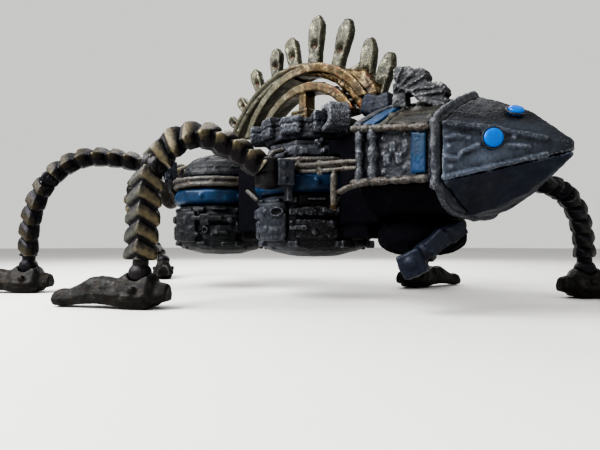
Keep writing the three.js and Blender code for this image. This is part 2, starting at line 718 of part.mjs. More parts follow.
add("spine_frame", spineFrame(), "hull");
add("front_pod_shell", podLower(0), "hull");
add("front_pod_band", podBand(0), "enamel");
add("front_pod_pipes", podPipes(0), "trim");
add("front_pod_upper", frontUpper(), "hull");
add("front_pod_crown", frontCrown(), "hull");
add("crown_hook_clamp", hookClamp(), "trim");
add("rear_pod_shell", podLower(REAR_POD_X), "hull");
add("rear_pod_band", podBand(REAR_POD_X), "enamel");
add("rear_pod_pipes", podPipes(REAR_POD_X), "trim");
add("rear_pod_cap", rearCap(), "hull");
add("pod_bridge", podBridge(), "hull");
add("neck_bulkhead", neckBulkhead(), "hull");
add("tail_flange", tailFlange(), "trim");
add("belly_pod", bellyPod(), "hull");
add("belly_strut", bellyStrut(), "hull");

add("neck_core", neckCore(), "hull");
add("neck_rear_rib", archShell(NECK_BACK, 31.5, 0.5), "trim");
add("neck_roof_band", archShell(31.8, 35.4, 0.2), "enamel");
add("neck_roof", archShell(35.7, COLLAR_BACK - GAP), "roof");
add("neck_floor", neckFloor(), "hull");
addPair("neck_side", neckSide(), "hull");
addPair("neck_side_band", neckSideBand(), "enamel");
addPair("neck_rail", neckRail(), "trim");
add("collar_rib", collarRib(), "trim");

const shell = headShell();
add("head_shell", shell, "roof");
add("head_keel", headKeel(), "hull");
const sideEye = vec(EYE_SIDE.x, 0, EYE_SIDE.z);
sideEye.y = 13.1 - ((EYE_SIDE.x - 55.7) * 5.5) / 6.1;
sideEye.addScaledVector(SIDE_NORMAL, 0.75);
addPair("eye_side", cut(eyeDisc(sideEye, SIDE_NORMAL, EYE_SIDE.radius), shell), "eye");
const topEye = vec(EYE_TOP.x, EYE_TOP.y, EYE_TOP.z).addScaledVector(TOP_NORMAL, 0.75);
addPair("eye_top", cut(eyeDisc(topEye, TOP_NORMAL, EYE_TOP.radius), shell), "eye");

add("crest_ring", crestRing(), "gold");
add("crest_hoop", crestHoop(), "gold");
add("crest_inner_arch", innerArch(), "gold");
add("foliage_plate", foliagePlate(), "pewter");

const joints = {};
const BRACKET_REACH = { near_mid: 6, near_rear: 6, far_front: 5.5, far_mid: 6, far_rear: 6 };
for (const [name, leg] of Object.entries(LEGS)) {
  const parts = legParts(leg);
  const host = name === "far_front" ? neckEnvelope() : podEnvelope(name.endsWith("rear") ? REAR_POD_X : 0);
  const bracket = hipBracket({ ...leg, height: leg.line[0][1] }, BRACKET_REACH[name]);
  add("hip_bracket_" + name, cut(bracket, host), "trim");
  add("leg_upper_" + name, parts.upper, "bronze");
  add("leg_lower_" + name, parts.lower, "bronze");
  add("foot_" + name, parts.foot, "sole");
  joints[name] = parts.joints;
}

// Stand the machine on its box's bottom centre.
const bounds = new THREE.Box3().setFromObject(machine);
machine.position.set(-(bounds.min.x + bounds.max.x) / 2, -(bounds.min.y + bounds.max.y) / 2, -bounds.min.z);
machine.userData = { joints };

export default machine;
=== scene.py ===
"""A spiked, five-legged walking machine: cast pieces and hand-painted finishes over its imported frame.

Design coordinates are millimetres: the front pod's axis is the origin, +X points to the nose, +Y to the
machine's left, and the soles stand at z = 0. to_row turns them into the frame's metres.
"""
from math import atan2, copysign, cos, degrees, exp, hypot, pi, radians, sin, sqrt, tau

import bmesh
import bpy
import numpy as np
from mathutils import Matrix, Vector, noise


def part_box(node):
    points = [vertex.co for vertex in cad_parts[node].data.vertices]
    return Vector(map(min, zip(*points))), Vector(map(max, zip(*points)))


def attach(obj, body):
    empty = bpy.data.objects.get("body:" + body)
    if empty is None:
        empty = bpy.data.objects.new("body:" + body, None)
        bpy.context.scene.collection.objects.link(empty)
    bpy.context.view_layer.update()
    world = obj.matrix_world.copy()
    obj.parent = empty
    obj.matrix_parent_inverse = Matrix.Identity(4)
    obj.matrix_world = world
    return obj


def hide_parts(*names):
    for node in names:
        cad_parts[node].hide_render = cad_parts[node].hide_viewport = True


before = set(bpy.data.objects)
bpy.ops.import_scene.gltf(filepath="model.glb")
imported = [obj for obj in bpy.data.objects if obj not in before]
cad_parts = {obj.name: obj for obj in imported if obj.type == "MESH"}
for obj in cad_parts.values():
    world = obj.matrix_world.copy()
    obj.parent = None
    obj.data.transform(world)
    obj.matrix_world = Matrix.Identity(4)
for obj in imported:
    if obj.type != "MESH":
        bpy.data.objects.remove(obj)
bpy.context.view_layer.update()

pod_low, pod_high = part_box("front_pod_pipes")
ORIGIN = Vector(((pod_low.x + pod_high.x) / 2, (pod_low.y + pod_high.y) / 2, 0))
MM = 0.001

# Pods.
POD_RADIUS = 18.3
REAR_POD_X = -47.8
POD_BOTTOM = 11.5
WALL_BOTTOM = 15.7
SHOULDER_TOP = 29
BAND_TOP = 35
PIPES_TOP = 39
CROWN_TOP = 51.6
TAIL_HEADING = 205
BELLY_X = 36.5

# Neck and head.
HALF_WIDTH = 18.2
NECK_BACK = 29.4
COLLAR_BACK = 48.9
SLOPE_BULGE = 0.35
RAIL_Y = 18.6
# The head's half-width at stations along it, as [x, half-width].
HEAD = [[51, 17.5], [55.7, 13.1], [61.8, 7.6], [66.4, 3.5], [69.7, 0.5]]

# Centres of the crest's arcs as (x, z), on the centre plane.
CREST = (-9, 35)
HOOP = (-3, 40)
INNER_ARCH = (-3, 41)
# Spikes as [angle of the foot, angle of the tip, radius at the tip, half-width], from the tail to the nose.
SPIKES = [
    [141, 141, 42.8, 1.5], [130, 130, 42.8, 1.7], [115.8, 115.3, 45.4, 1.9], [102.5, 100, 45.8, 2.2],
    [87, 91.6, 46.4, 2.4], [74, 77.7, 50.6, 2.6], [58.5, 62.8, 49.8, 2.3], [35, 50.3, 47.4, 2.1],
    [26, 39.5, 48, 2],
]

# Legs: hip axis, heading of the leg's plane, heading of the toe, how far the plates turn by the ankle,
# scale, pitch of the vertebrae, and the centreline as [distance from the hip, height].
LEGS = {
    "near_mid": dict(
        hip=(3.9, -21.9), heading=244.2, toe=215, twist=67, scale=1.0, pitch=4.4,
        line=[[0, 34], [4.8, 37.4], [8.8, 39.7], [12.7, 41.4], [16.4, 42.6], [22.6, 41.3], [27.4, 36.7],
              [30.2, 29.9], [31.25, 20], [31.9, 8]]),
    "near_rear": dict(
        hip=(-59.7, -20.2), heading=254.4, toe=225, twist=0, scale=0.95, pitch=5.0,
        line=[[0, 42], [7, 44.4], [15.6, 45.4], [24.6, 44.4], [32, 39.6], [37, 32.5], [40, 22], [40.7, 8]]),
    "far_front": dict(
        hip=(33.6, 23.8), heading=45, toe=45, twist=-15, scale=0.9, pitch=4.2,
        line=[[0, 32.5], [8, 34.3], [17, 34.3], [25.5, 32.8], [31, 30.5], [35, 25.5], [37.2, 18],
              [37.8, 8]]),
    "far_mid": dict(
        hip=(1.7, 22.5), heading=72, toe=77, twist=25, scale=0.95, pitch=4.6,
        line=[[0, 38.4], [8, 41], [20, 41.5], [32, 37.5], [40.5, 30], [42.8, 23.5], [38, 17.5], [30, 13],
              [22.5, 8]]),
    "far_rear": dict(
        hip=(-68.2, 8.2), heading=196, toe=150, twist=0, scale=0.95, pitch=4.6,
        line=[[0, 41], [8, 45.5], [21, 48], [35, 48.5], [45.5, 44], [48, 36], [44, 27], [36.5, 17.5],
              [27.5, 8]]),
}
# Legs in the light keep the brushed plates; the others get a copy painted darker as shade.
LIT_LEGS = ("near_mid", "far_mid", "far_rear")
KNEE_SHARE = 0.56
ANKLE_RADIUS = 2.8
# Hinge drums as (radius, half-width).
KNEE_DRUM = (2.75, 2.3)
HIP_DRUM = (3.4, 3.9)
# Along a leg: hip to first plate, knee to plates, ankle to last plate, and ankle to the middle of its neck.
HIP_GAP, KNEE_GAP, ANKLE_GAP, NECK_GAP = 2.4, 0.9, 3.4, 2.2
# The shin's plates stay this far from the knee's axis.
KNEE_CLEAR = 3.35
# Spacing of the places along a leg where its directions are worked out.
LEG_STEP = 0.05
# A vertebra seen along the leg has a roofed back, square flanks and a narrow belly, as [sideways, outward].
VERTEBRA = [[0, 3.7], [4.6, 0.9], [4.0, -1.4], [2.1, -3.1], [-2.1, -3.1], [-4.0, -1.4], [-4.6, 0.9]]
VERTEBRA_HALF = 4.6
# A foot: [distance towards the toe, sole height, top height, half-width].
FOOT = [
    [-7.4, 1.6, 5.8, 2.2], [-4.6, 1, 6.4, 3], [-3.2, 0, 8.6, 4.3], [3.2, 0, 8.6, 4.3], [5.8, 0.5, 7, 3.8],
    [10, 0.8, 7.6, 3.4], [13, 0.7, 7.2, 3], [16, 0.5, 5.6, 2.6], [18.8, 0, 4.3, 2.3], [20.4, 0, 4.4, 2.7],
    [22.4, 0.2, 3.9, 2.4], [23.4, 1, 3, 1.5],
]


def to_row(point):
    return ORIGIN + Vector(point) * MM


def lerp(a, b, t):
    return a + (b - a) * t


def smoothstep(low, high, value):
    t = min(max((value - low) / (high - low), 0), 1)
    return t * t * (3 - 2 * t)


def polar(radius, angle, height=0.0, x=0.0, y=0.0):
    turn = radians(angle)
    return Vector((x + radius * cos(turn), y + radius * sin(turn), height))


def on_circle(centre, radius, angle, y=0.0):
    """A point on a circle about an (x, z) centre, at an angle from +X towards the top."""
    turn = radians(angle)
    return Vector((centre[0] + radius * cos(turn), y, centre[1] + radius * sin(turn)))


def around(count):
    """Equal steps round a full turn, in radians."""
    return [tau * k / count for k in range(count)]


# ---- Mesh building --------------------------------------------------------------------------------------

class Shape:
    """Points in design millimetres, the faces between them, and each point's tones as (wing, plate)."""

    def __init__(self, *solids):
        self.points, self.faces, self.tones = [], [], []
        for rings in solids:
            self.skin(rings)

    def skin(self, rings, closed=False, tones=None, tone=(0, 1)):
        """A skin over rings of equal length, with its two ends capped unless it closes on itself."""
        count, base = len(rings[0]), len(self.points)
        for ring in rings:
            self.points.extend(Vector(p) for p in ring)
        self.tones.extend(tones or [tone] * (count * len(rings)))
        for i in range(len(rings) if closed else len(rings) - 1):
            here, there = base + i * count, base + (i + 1) % len(rings) * count
            for k in range(count):
                after = (k + 1) % count
                self.faces.append((here + k, here + after, there + after, there + k))
        if not closed:
            self.faces.append(tuple(base + k for k in reversed(range(count))))
            self.faces.append(tuple(base + (len(rings) - 1) * count + k for k in range(count)))
        return self

    def join(self, other):
        base = len(self.points)
        self.points.extend(other.points)
        self.tones.extend(other.tones)
        self.faces.extend(tuple(base + i for i in face) for face in other.faces)
        return self


def cad_shape(node):
    """A CAD node's own solid, as a start for a cast piece."""
    shape = Shape()
    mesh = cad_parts[node].data
    shape.points = [(v.co - ORIGIN) / MM for v in mesh.vertices]
    shape.tones = [(0, 1)] * len(shape.points)
    shape.faces = [tuple(face.vertices) for face in mesh.polygons]
    return shape


class Curve:
    """A centripetal Catmull-Rom curve through points, measured by its length."""

    def __init__(self, points, samples=60):
        knots = [Vector(p) for p in points]
        knots = [2 * knots[0] - knots[1], *knots, 2 * knots[-1] - knots[-2]]
        dense = []
        for p0, p1, p2, p3 in zip(knots, knots[1:], knots[2:], knots[3:]):
            d0, d1, d2 = ((b - a).length ** 0.5 for a, b in ((p0, p1), (p1, p2), (p2, p3)))
            slope1 = ((p1 - p0) / d0 - (p2 - p0) / (d0 + d1) + (p2 - p1) / d1) * d1
            slope2 = ((p2 - p1) / d1 - (p3 - p1) / (d1 + d2) + (p3 - p2) / d2) * d1
            for k in range(samples):
                t = k / samples
                dense.append(
                    p1 * (2 * t**3 - 3 * t**2 + 1) + slope1 * (t**3 - 2 * t**2 + t)
                    + p2 * (3 * t**2 - 2 * t**3) + slope2 * (t**3 - t**2))
        dense.append(knots[-2])
        steps = [(b - a).length for a, b in zip(dense, dense[1:])]
        self.marks = np.concatenate([[0], np.cumsum(steps)])
        self.track = np.array([tuple(p) for p in dense])
        self.length = float(self.marks[-1])

    def point(self, s):
        return Vector([float(np.interp(s, self.marks, self.track[:, axis])) for axis in range(3)])

    def tangent(self, s, reach=0.2):
        return (self.point(min(s + reach, self.length)) - self.point(max(s - reach, 0))).normalized()


def tube(path, radius, step=0.7, sides=14):
    """Rings of a round bar with domed ends; its radius is a number or a function of the share along it."""
    curve = Curve(path)
    size = radius if callable(radius) else lambda share: radius
    count = max(4, round(curve.length / step))
    across, rings = None, []
    for i in range(count + 1):
        s = curve.length * i / count
        along = curve.tangent(s)
        across = along.orthogonal() if across is None else across
        across = (across - along * across.dot(along)).normalized()
        rise = along.cross(across)
        centre, r = curve.point(s), size(i / count)
        dome = [(0, 1)]
        if i == 0:
            dome = [(-sin(a), cos(a)) for a in (1.4, 1, 0.5)] + dome
        if i == count:
            dome = dome + [(sin(a), cos(a)) for a in (0.5, 1, 1.4)]
        for shift, share in dome:
            rings.append([
                centre + along * shift * r + (across * cos(a) + rise * sin(a)) * r * share
                for a in around(sides)])
    return rings


def swept(section, centre, axis=(0, 0, 1), zero=(1, 0, 0), start=0, end=360, steps=96, ends=1.0):
    """Rings of a [radius, height] section turned about an axis; the end rings shrink to the share ends."""
    centre, axis, zero = Vector(centre), Vector(axis).normalized(), Vector(zero).normalized()
    rise = axis.cross(zero)
    middle = [sum(p[i] for p in section) / len(section) for i in (0, 1)]
    whole = abs(end - start) >= 360
    angles = [start + (end - start) * k / steps for k in range(steps if whole else steps + 1)]
    rings = []
    for k, angle in enumerate(angles):
        turn = radians(angle)
        share = ends if not whole and k in (0, len(angles) - 1) else 1
        rings.append([
            centre + axis * lerp(middle[1], h, share)
            + (zero * cos(turn) + rise * sin(turn)) * max(lerp(middle[0], r, share), 0.01)
            for r, h in section])
    return rings


def turned(profile, centre=(0, 0, 0), axis=(0, 0, 1), segments=72):
    """Rings of a solid of revolution; the profile is [radius, distance along the axis]."""
    centre, axis = Vector(centre), Vector(axis).normalized()
    across = axis.orthogonal().normalized()
    rise = axis.cross(across)
    return [
        [centre + axis * h + (across * cos(a) + rise * sin(a)) * max(r, 0.02)
         for a in around(segments)]
        for r, h in profile]


def ball(radius, steps):
    """The [radius, height] profile of a ball."""
    return [[radius * sin(a), -radius * cos(a)]
            for a in (pi * k / steps for k in range(steps + 1))]


def stud(centre, axis, radius, height, segments=16):
    """A domed rivet or lens standing on a surface."""
    dome = [[radius, -0.4 * height], [radius, 0.2 * height], [0.86 * radius, 0.6 * height],
            [0.5 * radius, 0.9 * height], [0.02, height]]
    return turned(dome, centre, axis, segments)


def placed(x, y, z, turn=0.0, tilt=0.0):
    return (Matrix.Translation((x, y, z)) @ Matrix.Rotation(radians(turn), 4, "Z")
            @ Matrix.Rotation(radians(tilt), 4, "Y"))


def block(size, bevel, place):
    """Rings of a block with softened edges, centred on its own origin and then put in place."""
    x, y, z = (side / 2 for side in size)
    levels = [(0, -z + bevel), (0, z - bevel)]
    eased = [(0.3 * bevel, 0.3 * bevel), (bevel, 0)]
    levels = [(i, -z + h) for i, h in reversed(eased)] + levels + [(i, z - h) for i, h in eased]
    rings = []
    for draw_in, level in levels:
        ring = []
        for quarter, (sx, sy) in enumerate(((1, -1), (1, 1), (-1, 1), (-1, -1))):
            for angle in (0, 45, 90):
                turn = radians(90 * (quarter - 1) + angle)
                reach = max(bevel - draw_in, 0.01)
                ring.append(place @ Vector((
                    sx * (x - bevel) + reach * cos(turn), sy * (y - bevel) + reach * sin(turn),
                    level)))
        rings.append(ring)
    return rings


def drawn_in(outline, amount):
    """A closed outline with each side moved inward by an amount."""
    turning = sum(a[0] * b[1] - b[0] * a[1] for a, b in zip(outline, outline[1:] + outline[:1]))
    sign = 1 if turning > 0 else -1
    moved = []
    for before, here, after in zip(outline[-1:] + outline[:-1], outline, outline[1:] + outline[:1]):
        normals = []
        for a, b in ((before, here), (here, after)):
            length = hypot(b[0] - a[0], b[1] - a[1]) or 1
            normals.append((-(b[1] - a[1]) / length * sign, (b[0] - a[0]) / length * sign))
        mean = ((normals[0][0] + normals[1][0]) / 2, (normals[0][1] + normals[1][1]) / 2)
        spread = max(mean[0] ** 2 + mean[1] ** 2, 0.35)
        moved.append((here[0] + mean[0] / spread * amount, here[1] + mean[1] / spread * amount))
    return moved


def slab(outline, y0, y1, bevel=0.5):
    """Rings of a flat [x, z] outline made solid between two y values, with softened rims."""
    rings = []
    for draw, y in ((bevel, y0), (0.3 * bevel, y0 + 0.3 * bevel), (0, y0 + bevel),
                    (0, y1 - bevel), (0.3 * bevel, y1 - 0.3 * bevel), (bevel, y1)):
        rings.append([Vector((x, y, z)) for x, z in drawn_in(outline, draw)])
    return rings


# ---- Cast surfaces --------------------------------------------------------------------------------------

# How closely a casting's lumps and grains follow each other, per millimetre.
LUMP_SCALE, GRAIN_SCALE = 0.33, 1.9
# Rounds of smoothing whose distance from the surface shows its hollows.
HOLLOW_ROUNDS = 24


def neighbour_mean(values, edges, degree):
    columns = []
    for axis in range(values.shape[1]):
        column = values[:, axis]
        columns.append(
            np.bincount(edges[:, 0], column[edges[:, 1]], len(values))
            + np.bincount(edges[:, 1], column[edges[:, 0]], len(values)))
    return np.stack(columns, axis=1) / degree[:, None]


def read(mesh, what, width, items="vertices", kind=float):
    source = getattr(mesh, items)
    values = np.empty(len(source) * width, dtype=kind)
    source.foreach_get(what, values)
    return values.reshape(-1, width)


def give_surface(mesh, relax, lumps, grain, dent):
    """Softens a mesh, roughens it like a casting, and stores its edges and its hollows on its points."""
    edges = read(mesh, "vertices", 2, "edges", int)
    degree = np.maximum(np.bincount(edges.ravel(), minlength=len(mesh.vertices)), 1)
    points = read(mesh, "co", 3) / MM
    for _ in range(relax):
        points = points * 0.5 + neighbour_mean(points, edges, degree) * 0.5
    normals = read(mesh, "normal", 3)
    if lumps or grain or dent:
        heights = np.empty(len(points))
        for i, row in enumerate(points):
            p = Vector(row)
            heights[i] = lumps * noise.noise(p * LUMP_SCALE) + grain * noise.noise(p * GRAIN_SCALE)
            if dent:
                heights[i] -= dent(p - ORIGIN / MM)
        points = points + normals * heights[:, None]
    mesh.vertices.foreach_set("co", (points * MM).ravel())
    mesh.update()
    normals = read(mesh, "normal", 3)
    fine = ((points - neighbour_mean(points, edges, degree)) * normals).sum(axis=1)
    smooth = points
    for _ in range(HOLLOW_ROUNDS):
        smooth = neighbour_mean(smooth, edges, degree)
    broad = ((points - smooth) * normals).sum(axis=1)
    for name, values, rounds in (("edge", fine, 2), ("hollow", broad, 1)):
        values = values[:, None]
        for _ in range(rounds):
            values = values * 0.5 + neighbour_mean(values, edges, degree) * 0.5
        mesh.attributes.new(name, "FLOAT", "POINT").data.foreach_set("value", values.ravel())


def linked(name, data):
    """A new object in the scene."""
    thing = bpy.data.objects.new(name, data)
    bpy.context.scene.collection.objects.link(thing)
    return thing


def piece(name, shape, body, slot, material, stands_for=(), voxel=0.32, relax=2, lumps=0.12, grain=0.06,
          dent=None):
    """A cast piece from a shape: fused and roughened where voxel is set, else kept point for point."""
    mesh = bpy.data.meshes.new(name)
    mesh.from_pydata([to_row(p) for p in shape.points], [], shape.faces)
    work = bmesh.new()
    work.from_mesh(mesh)
    bmesh.ops.recalc_face_normals(work, faces=work.faces)
    work.to_mesh(mesh)
    work.free()
    thing = linked(name, mesh)
    if voxel:
        fuse = thing.modifiers.new("cast", "REMESH")
        fuse.mode = "VOXEL"
        fuse.voxel_size = voxel * MM
        graph = bpy.context.evaluated_depsgraph_get()
        fused = bpy.data.meshes.new_from_object(thing.evaluated_get(graph))
        thing.modifiers.clear()
        thing.data = fused
        bpy.data.meshes.remove(mesh)
        fused.name = name
    else:
        for label, values in zip(("wing", "plate"), zip(*shape.tones)):
            mesh.attributes.new(label, "FLOAT", "POINT").data.foreach_set("value", values)
    give_surface(thing.data, relax, lumps, grain, dent)
    thing.data.shade_smooth()
    thing.data.materials.clear()
    thing.data.materials.append(material)
    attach(thing, body)
    if stands_for:
        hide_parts(*stands_for)
    return thing


# ---- Paints ---------------------------------------------------------------------------------------------

# Strength of the paints' fine relief.
BUMP = 0.7


class Recipe:
    """A material built node by node on a Principled shader, with lengths in millimetres."""

    def __init__(self, name, metallic, shine=0.5):
        self.material = bpy.data.materials.new(name)
        self.material.use_nodes = True
        self.tree = self.material.node_tree
        self.shader = self.tree.nodes["Principled BSDF"]
        self.shader.inputs["Metallic"].default_value = metallic
        self.shader.inputs["Specular IOR Level"].default_value = shine
        coords = self.node("TexCoord", {})
        scale = self.node("VectorMath", {0: coords.outputs["Object"], "Scale": 1 / MM}, operation="SCALE")
        self.place = scale.outputs[0]

    def node(self, kind, inputs, **settings):
        """A new node of a kind with its settings made and its inputs fed, by label or by number."""
        node = self.tree.nodes.new("ShaderNode" + kind)
        for name, value in settings.items():
            setattr(node, name, value)
        for key, value in inputs.items():
            self.feed(node.inputs[key], value)
        return node

    def feed(self, socket, value):
        if isinstance(value, bpy.types.NodeSocket):
            self.tree.links.new(value, socket)
        else:
            socket.default_value = (*value, 1) if isinstance(value, tuple) else value

    def noise(self, scale, detail=4.0, roughness=0.55):
        inputs = {"Vector": self.place, "Scale": scale, "Detail": detail, "Roughness": roughness}
        return self.node("TexNoise", inputs).outputs[0]

    def attribute(self, name):
        return self.node("Attribute", {}, attribute_name=name).outputs["Fac"]

    def along(self, axis, start, end):
        """0 to 1 from one design coordinate to another along an axis."""
        split = self.node("SeparateXYZ", {0: self.place})
        shift = ORIGIN["XYZ".index(axis)] / MM
        return self.ramp(split.outputs[axis], start + shift, end + shift)

    def ramp(self, value, low, high, to_low=0.0, to_high=1.0):
        inputs = {"From Min": low, "From Max": high, "To Min": to_low, "To Max": to_high, "Value": value}
        return self.node("MapRange", inputs).outputs["Result"]

    def maths(self, operation, a, b):
        return self.node("Math", {0: a, 1: b}, operation=operation).outputs[0]

    def mix(self, factor, a, b):
        return self.node("Mix", {0: factor, 6: a, 7: b}, data_type="RGBA").outputs[2]

    def finish(self, colour, roughness, height, depth):
        self.feed(self.shader.inputs["Base Color"], colour)
        self.feed(self.shader.inputs["Roughness"], roughness)
        bump = self.node("Bump", {"Strength": BUMP, "Distance": depth * MM, "Height": height})
        self.feed(self.shader.inputs["Normal"], bump.outputs[0])
        return self.material


def painted(name, base, shade, wear, metallic=0.2, rough=(0.38, 0.62), worn=(0.035, 0.13), speckle=0.08,
            mottle=0.12, hollow_shade=0.9, zone=None, depth=0.12, shine=0.22):
    """Mottled paint, dry-brushed along its edges, with painted shade in its hollows; zone recolours parts of
    it.
    """
    r = Recipe(name, metallic, shine)
    broad, patchy, fine = r.noise(0.12), r.noise(0.55, 6.0, 0.65), r.noise(2.6, 5.0, 0.7)
    colour = r.mix(r.ramp(broad, 0.38, 0.62), base, shade)
    colour = r.mix(r.ramp(patchy, 0.52, 0.7, 0, mottle), colour, wear)
    if zone:
        colour = zone(r, colour)
    flecks = r.maths("MULTIPLY", r.maths("SUBTRACT", fine, 0.5), speckle)
    rub = r.ramp(r.maths("ADD", r.attribute("edge"), flecks), *worn)
    colour = r.mix(rub, colour, wear)
    # Painted shade: the hollows are darkened towards near black, by the strength given for it.
    colour = r.mix(r.ramp(r.attribute("hollow"), 0.0, -0.2, 0, hollow_shade), colour, (0.004, 0.004, 0.006))
    roughness = r.ramp(r.maths("ADD", patchy, fine), 0.7, 1.3, rough[1], rough[0])
    return r.finish(colour, roughness, r.maths("ADD", r.maths("MULTIPLY", patchy, 0.6), fine), depth)


def rusted(r, colour):
    """Gilding that turns olive towards the tail and rusty in patches."""
    colour = r.mix(r.ramp(r.noise(0.35, 5.0, 0.7), 0.52, 0.66, 0, 0.8), colour, (0.07, 0.018, 0.005))
    return r.mix(r.along("X", 2, -18), colour, (0.06, 0.058, 0.042))


def rust_pooled(r, colour):
    """Rust that has gathered in the hollows."""
    return r.mix(r.ramp(r.attribute("hollow"), -0.06, -0.22), colour, (0.034, 0.012, 0.004))


def gilded_plates(r, colour, strength=1.0):
    """Gold plates on one flank and silver ones on the other, brushed over a dark body; a strength below 1
    dims them as painted shade.
    """
    silver, gold = (tuple(strength * c for c in metal)
                    for metal in ((0.068, 0.068, 0.059), (0.086, 0.071, 0.04)))
    brushed = r.mix(r.ramp(r.attribute("wing"), -0.3, 0.3), silver, gold)
    patches = r.maths("ADD", r.attribute("plate"), r.ramp(r.noise(0.9, 6.0, 0.7), 0.3, 0.7, -0.45, 0.25))
    return r.mix(r.ramp(patches, 0.25, 0.95, 0, 0.95), colour, brushed)


def painted_head_light_and_shade(r, colour):
    """Bluish grey sides under a darker crown, and a dark nose: painted light on the sides, over the head's
    own bluish paint, and painted shade on the crown and the nose.
    """
    patchy = r.ramp(r.noise(0.25, 5.0, 0.7), 0.35, 0.65, 0.35, 0.95)
    # Painted light makes the sides paler and bluer in patches; painted shade darkens the crown above them.
    colour = r.mix(r.along("Z", 35, 41), r.mix(patchy, colour, (0.062, 0.077, 0.104)), (0.007, 0.008, 0.011))
    # Painted shade darkens the nose.
    return r.mix(r.along("X", 60, 69), colour, (0.009, 0.011, 0.015))


def shaded_towards_neck(r, colour):
    """Painted shade that darkens the paint towards the neck."""
    return r.mix(r.along("X", 0, 8), colour, (0.003, 0.003, 0.004))


def bronzed(r, colour):
    return r.mix(r.ramp(r.noise(0.4, 5.0, 0.7), 0.5, 0.7, 0, 0.6), colour, (0.026, 0.015, 0.007))


HULL = painted("hull_paint_worn", (0.01, 0.012, 0.019), (0.016, 0.018, 0.023), (0.22, 0.225, 0.25),
               worn=(0.015, 0.11), speckle=0.2, mottle=0.2)
# The front pod's paint, with painted shade towards the neck.
FRONT = painted("hull_paint_front_pod", (0.014, 0.017, 0.026), (0.02, 0.023, 0.03), (0.19, 0.2, 0.225),
                worn=(0.012, 0.13), speckle=0.22, mottle=0.2, zone=shaded_towards_neck)
# A darker copy of the hull paint for the rear pod and its cap: painted shade.
HULL_SHADED_REAR = painted("hull_paint_rear_pod_shaded", (0.005, 0.006, 0.008), (0.009, 0.01, 0.011), (0.13, 0.135, 0.14),
               worn=(0.03, 0.15), speckle=0.2, mottle=0.16)
PALE = painted("hull_paint_rubbed", (0.018, 0.021, 0.028), (0.026, 0.028, 0.033), (0.25, 0.255, 0.27),
               worn=(0.015, 0.1), speckle=0.18, mottle=0.22)
CLAMP = painted("hull_paint_clamp", (0.04, 0.043, 0.052), (0.03, 0.032, 0.038), (0.32, 0.33, 0.35),
                worn=(0.0, 0.1), speckle=0.3, mottle=0.25)
# The head's paint, with painted light on its sides and painted shade on its crown and nose.
SHELL = painted("hull_paint_head", (0.012, 0.014, 0.02), (0.02, 0.021, 0.026), (0.22, 0.23, 0.25),
                worn=(0.01, 0.075), speckle=0.08, mottle=0.1, zone=painted_head_light_and_shade)
# Near-black paint for parts in shade under the neck, between the pods and under the belly: painted shade.
INNER = painted("hull_paint_shaded", (0.003, 0.003, 0.005), (0.004, 0.004, 0.006), (0.02, 0.02, 0.024), 0.0,
                (0.7, 0.9), shine=0.05)
KEEL = painted("hull_paint_navy", (0.004, 0.007, 0.016), (0.007, 0.008, 0.014), (0.08, 0.09, 0.12),
               worn=(0.02, 0.11), speckle=0.14, mottle=0.1)
ROOF = painted("roof_paint_worn", (0.018, 0.016, 0.011), (0.014, 0.015, 0.016), (0.15, 0.135, 0.1),
               speckle=0.12, mottle=0.2)
TRIM = painted("trim_grey_worn", (0.02, 0.019, 0.018), (0.02, 0.014, 0.01), (0.26, 0.25, 0.23), 0.3,
               worn=(0.0, 0.12), speckle=0.16, mottle=0.2)
ENAMEL = painted("enamel_blue_worn", (0.003, 0.026, 0.075), (0.003, 0.014, 0.034), (0.02, 0.1, 0.18), 0.1,
                 (0.25, 0.45), (0.03, 0.1), mottle=0.25)
EYE = painted("eye_blue_glossy", (0.0, 0.12, 0.38), (0.0, 0.07, 0.32), (0.02, 0.2, 0.6), 0.0, (0.2, 0.3),
              (0.2, 0.5), hollow_shade=0.0, depth=0.02)
GOLD = painted("antique_gold_rusted", (0.045, 0.03, 0.011), (0.018, 0.013, 0.008), (0.5, 0.39, 0.2), 0.6,
               (0.28, 0.5), worn=(0.035, 0.15), speckle=0.3, mottle=0.25, zone=rusted)
OLIVE = painted("crest_olive_tarnished", (0.036, 0.035, 0.024), (0.018, 0.018, 0.014), (0.36, 0.34, 0.24),
                0.5, (0.3, 0.5), worn=(0.015, 0.11), speckle=0.24, mottle=0.4, hollow_shade=0.3, zone=rust_pooled)
PEWTER = painted("foliage_pewter_worn", (0.018, 0.019, 0.021), (0.012, 0.012, 0.014), (0.34, 0.34, 0.34),
                 0.4, worn=(0.01, 0.1), mottle=0.2)
PLATES = painted("leg_bronze_brushed", (0.011, 0.01, 0.012), (0.012, 0.01, 0.011), (0.28, 0.26, 0.19), 0.5,
                 (0.3, 0.5), worn=(0.04, 0.18), speckle=0.16, mottle=0.03, zone=gilded_plates, depth=0.16)
# A copy of the leg paint with dimmed brushed plates: painted shade on the legs out of the light.
SHADED_PLATES = painted("leg_bronze_in_shade", (0.005, 0.004, 0.007), (0.007, 0.006, 0.008), (0.2, 0.18, 0.13), 0.5,
                     (0.35, 0.55), worn=(0.05, 0.2), speckle=0.14, mottle=0.03,
                     zone=lambda r, colour: gilded_plates(r, colour, 0.42), depth=0.16)
FOOT_DARK = painted("foot_dark_worn", (0.0045, 0.004, 0.0035), (0.006, 0.006, 0.006), (0.16, 0.15, 0.125),
                    0.4, worn=(0.04, 0.15), zone=bronzed)


def cast(node, shape, slot, material, voxel=0.32, **options):
    """A piece on the hull that stands for one CAD node."""
    return piece(node + "_cast", shape, "hull", slot, material, (node,), voxel, **options)


def recast(node, slot, material, *extras, **options):
    """A cast copy of a hull node's solid with its fittings added."""
    shape = cad_shape(node)
    for rings in extras:
        shape.skin(rings)
    return cast(node, shape, slot, material, **options)


# ---- Pods -----------------------------------------------------------------------------------------------

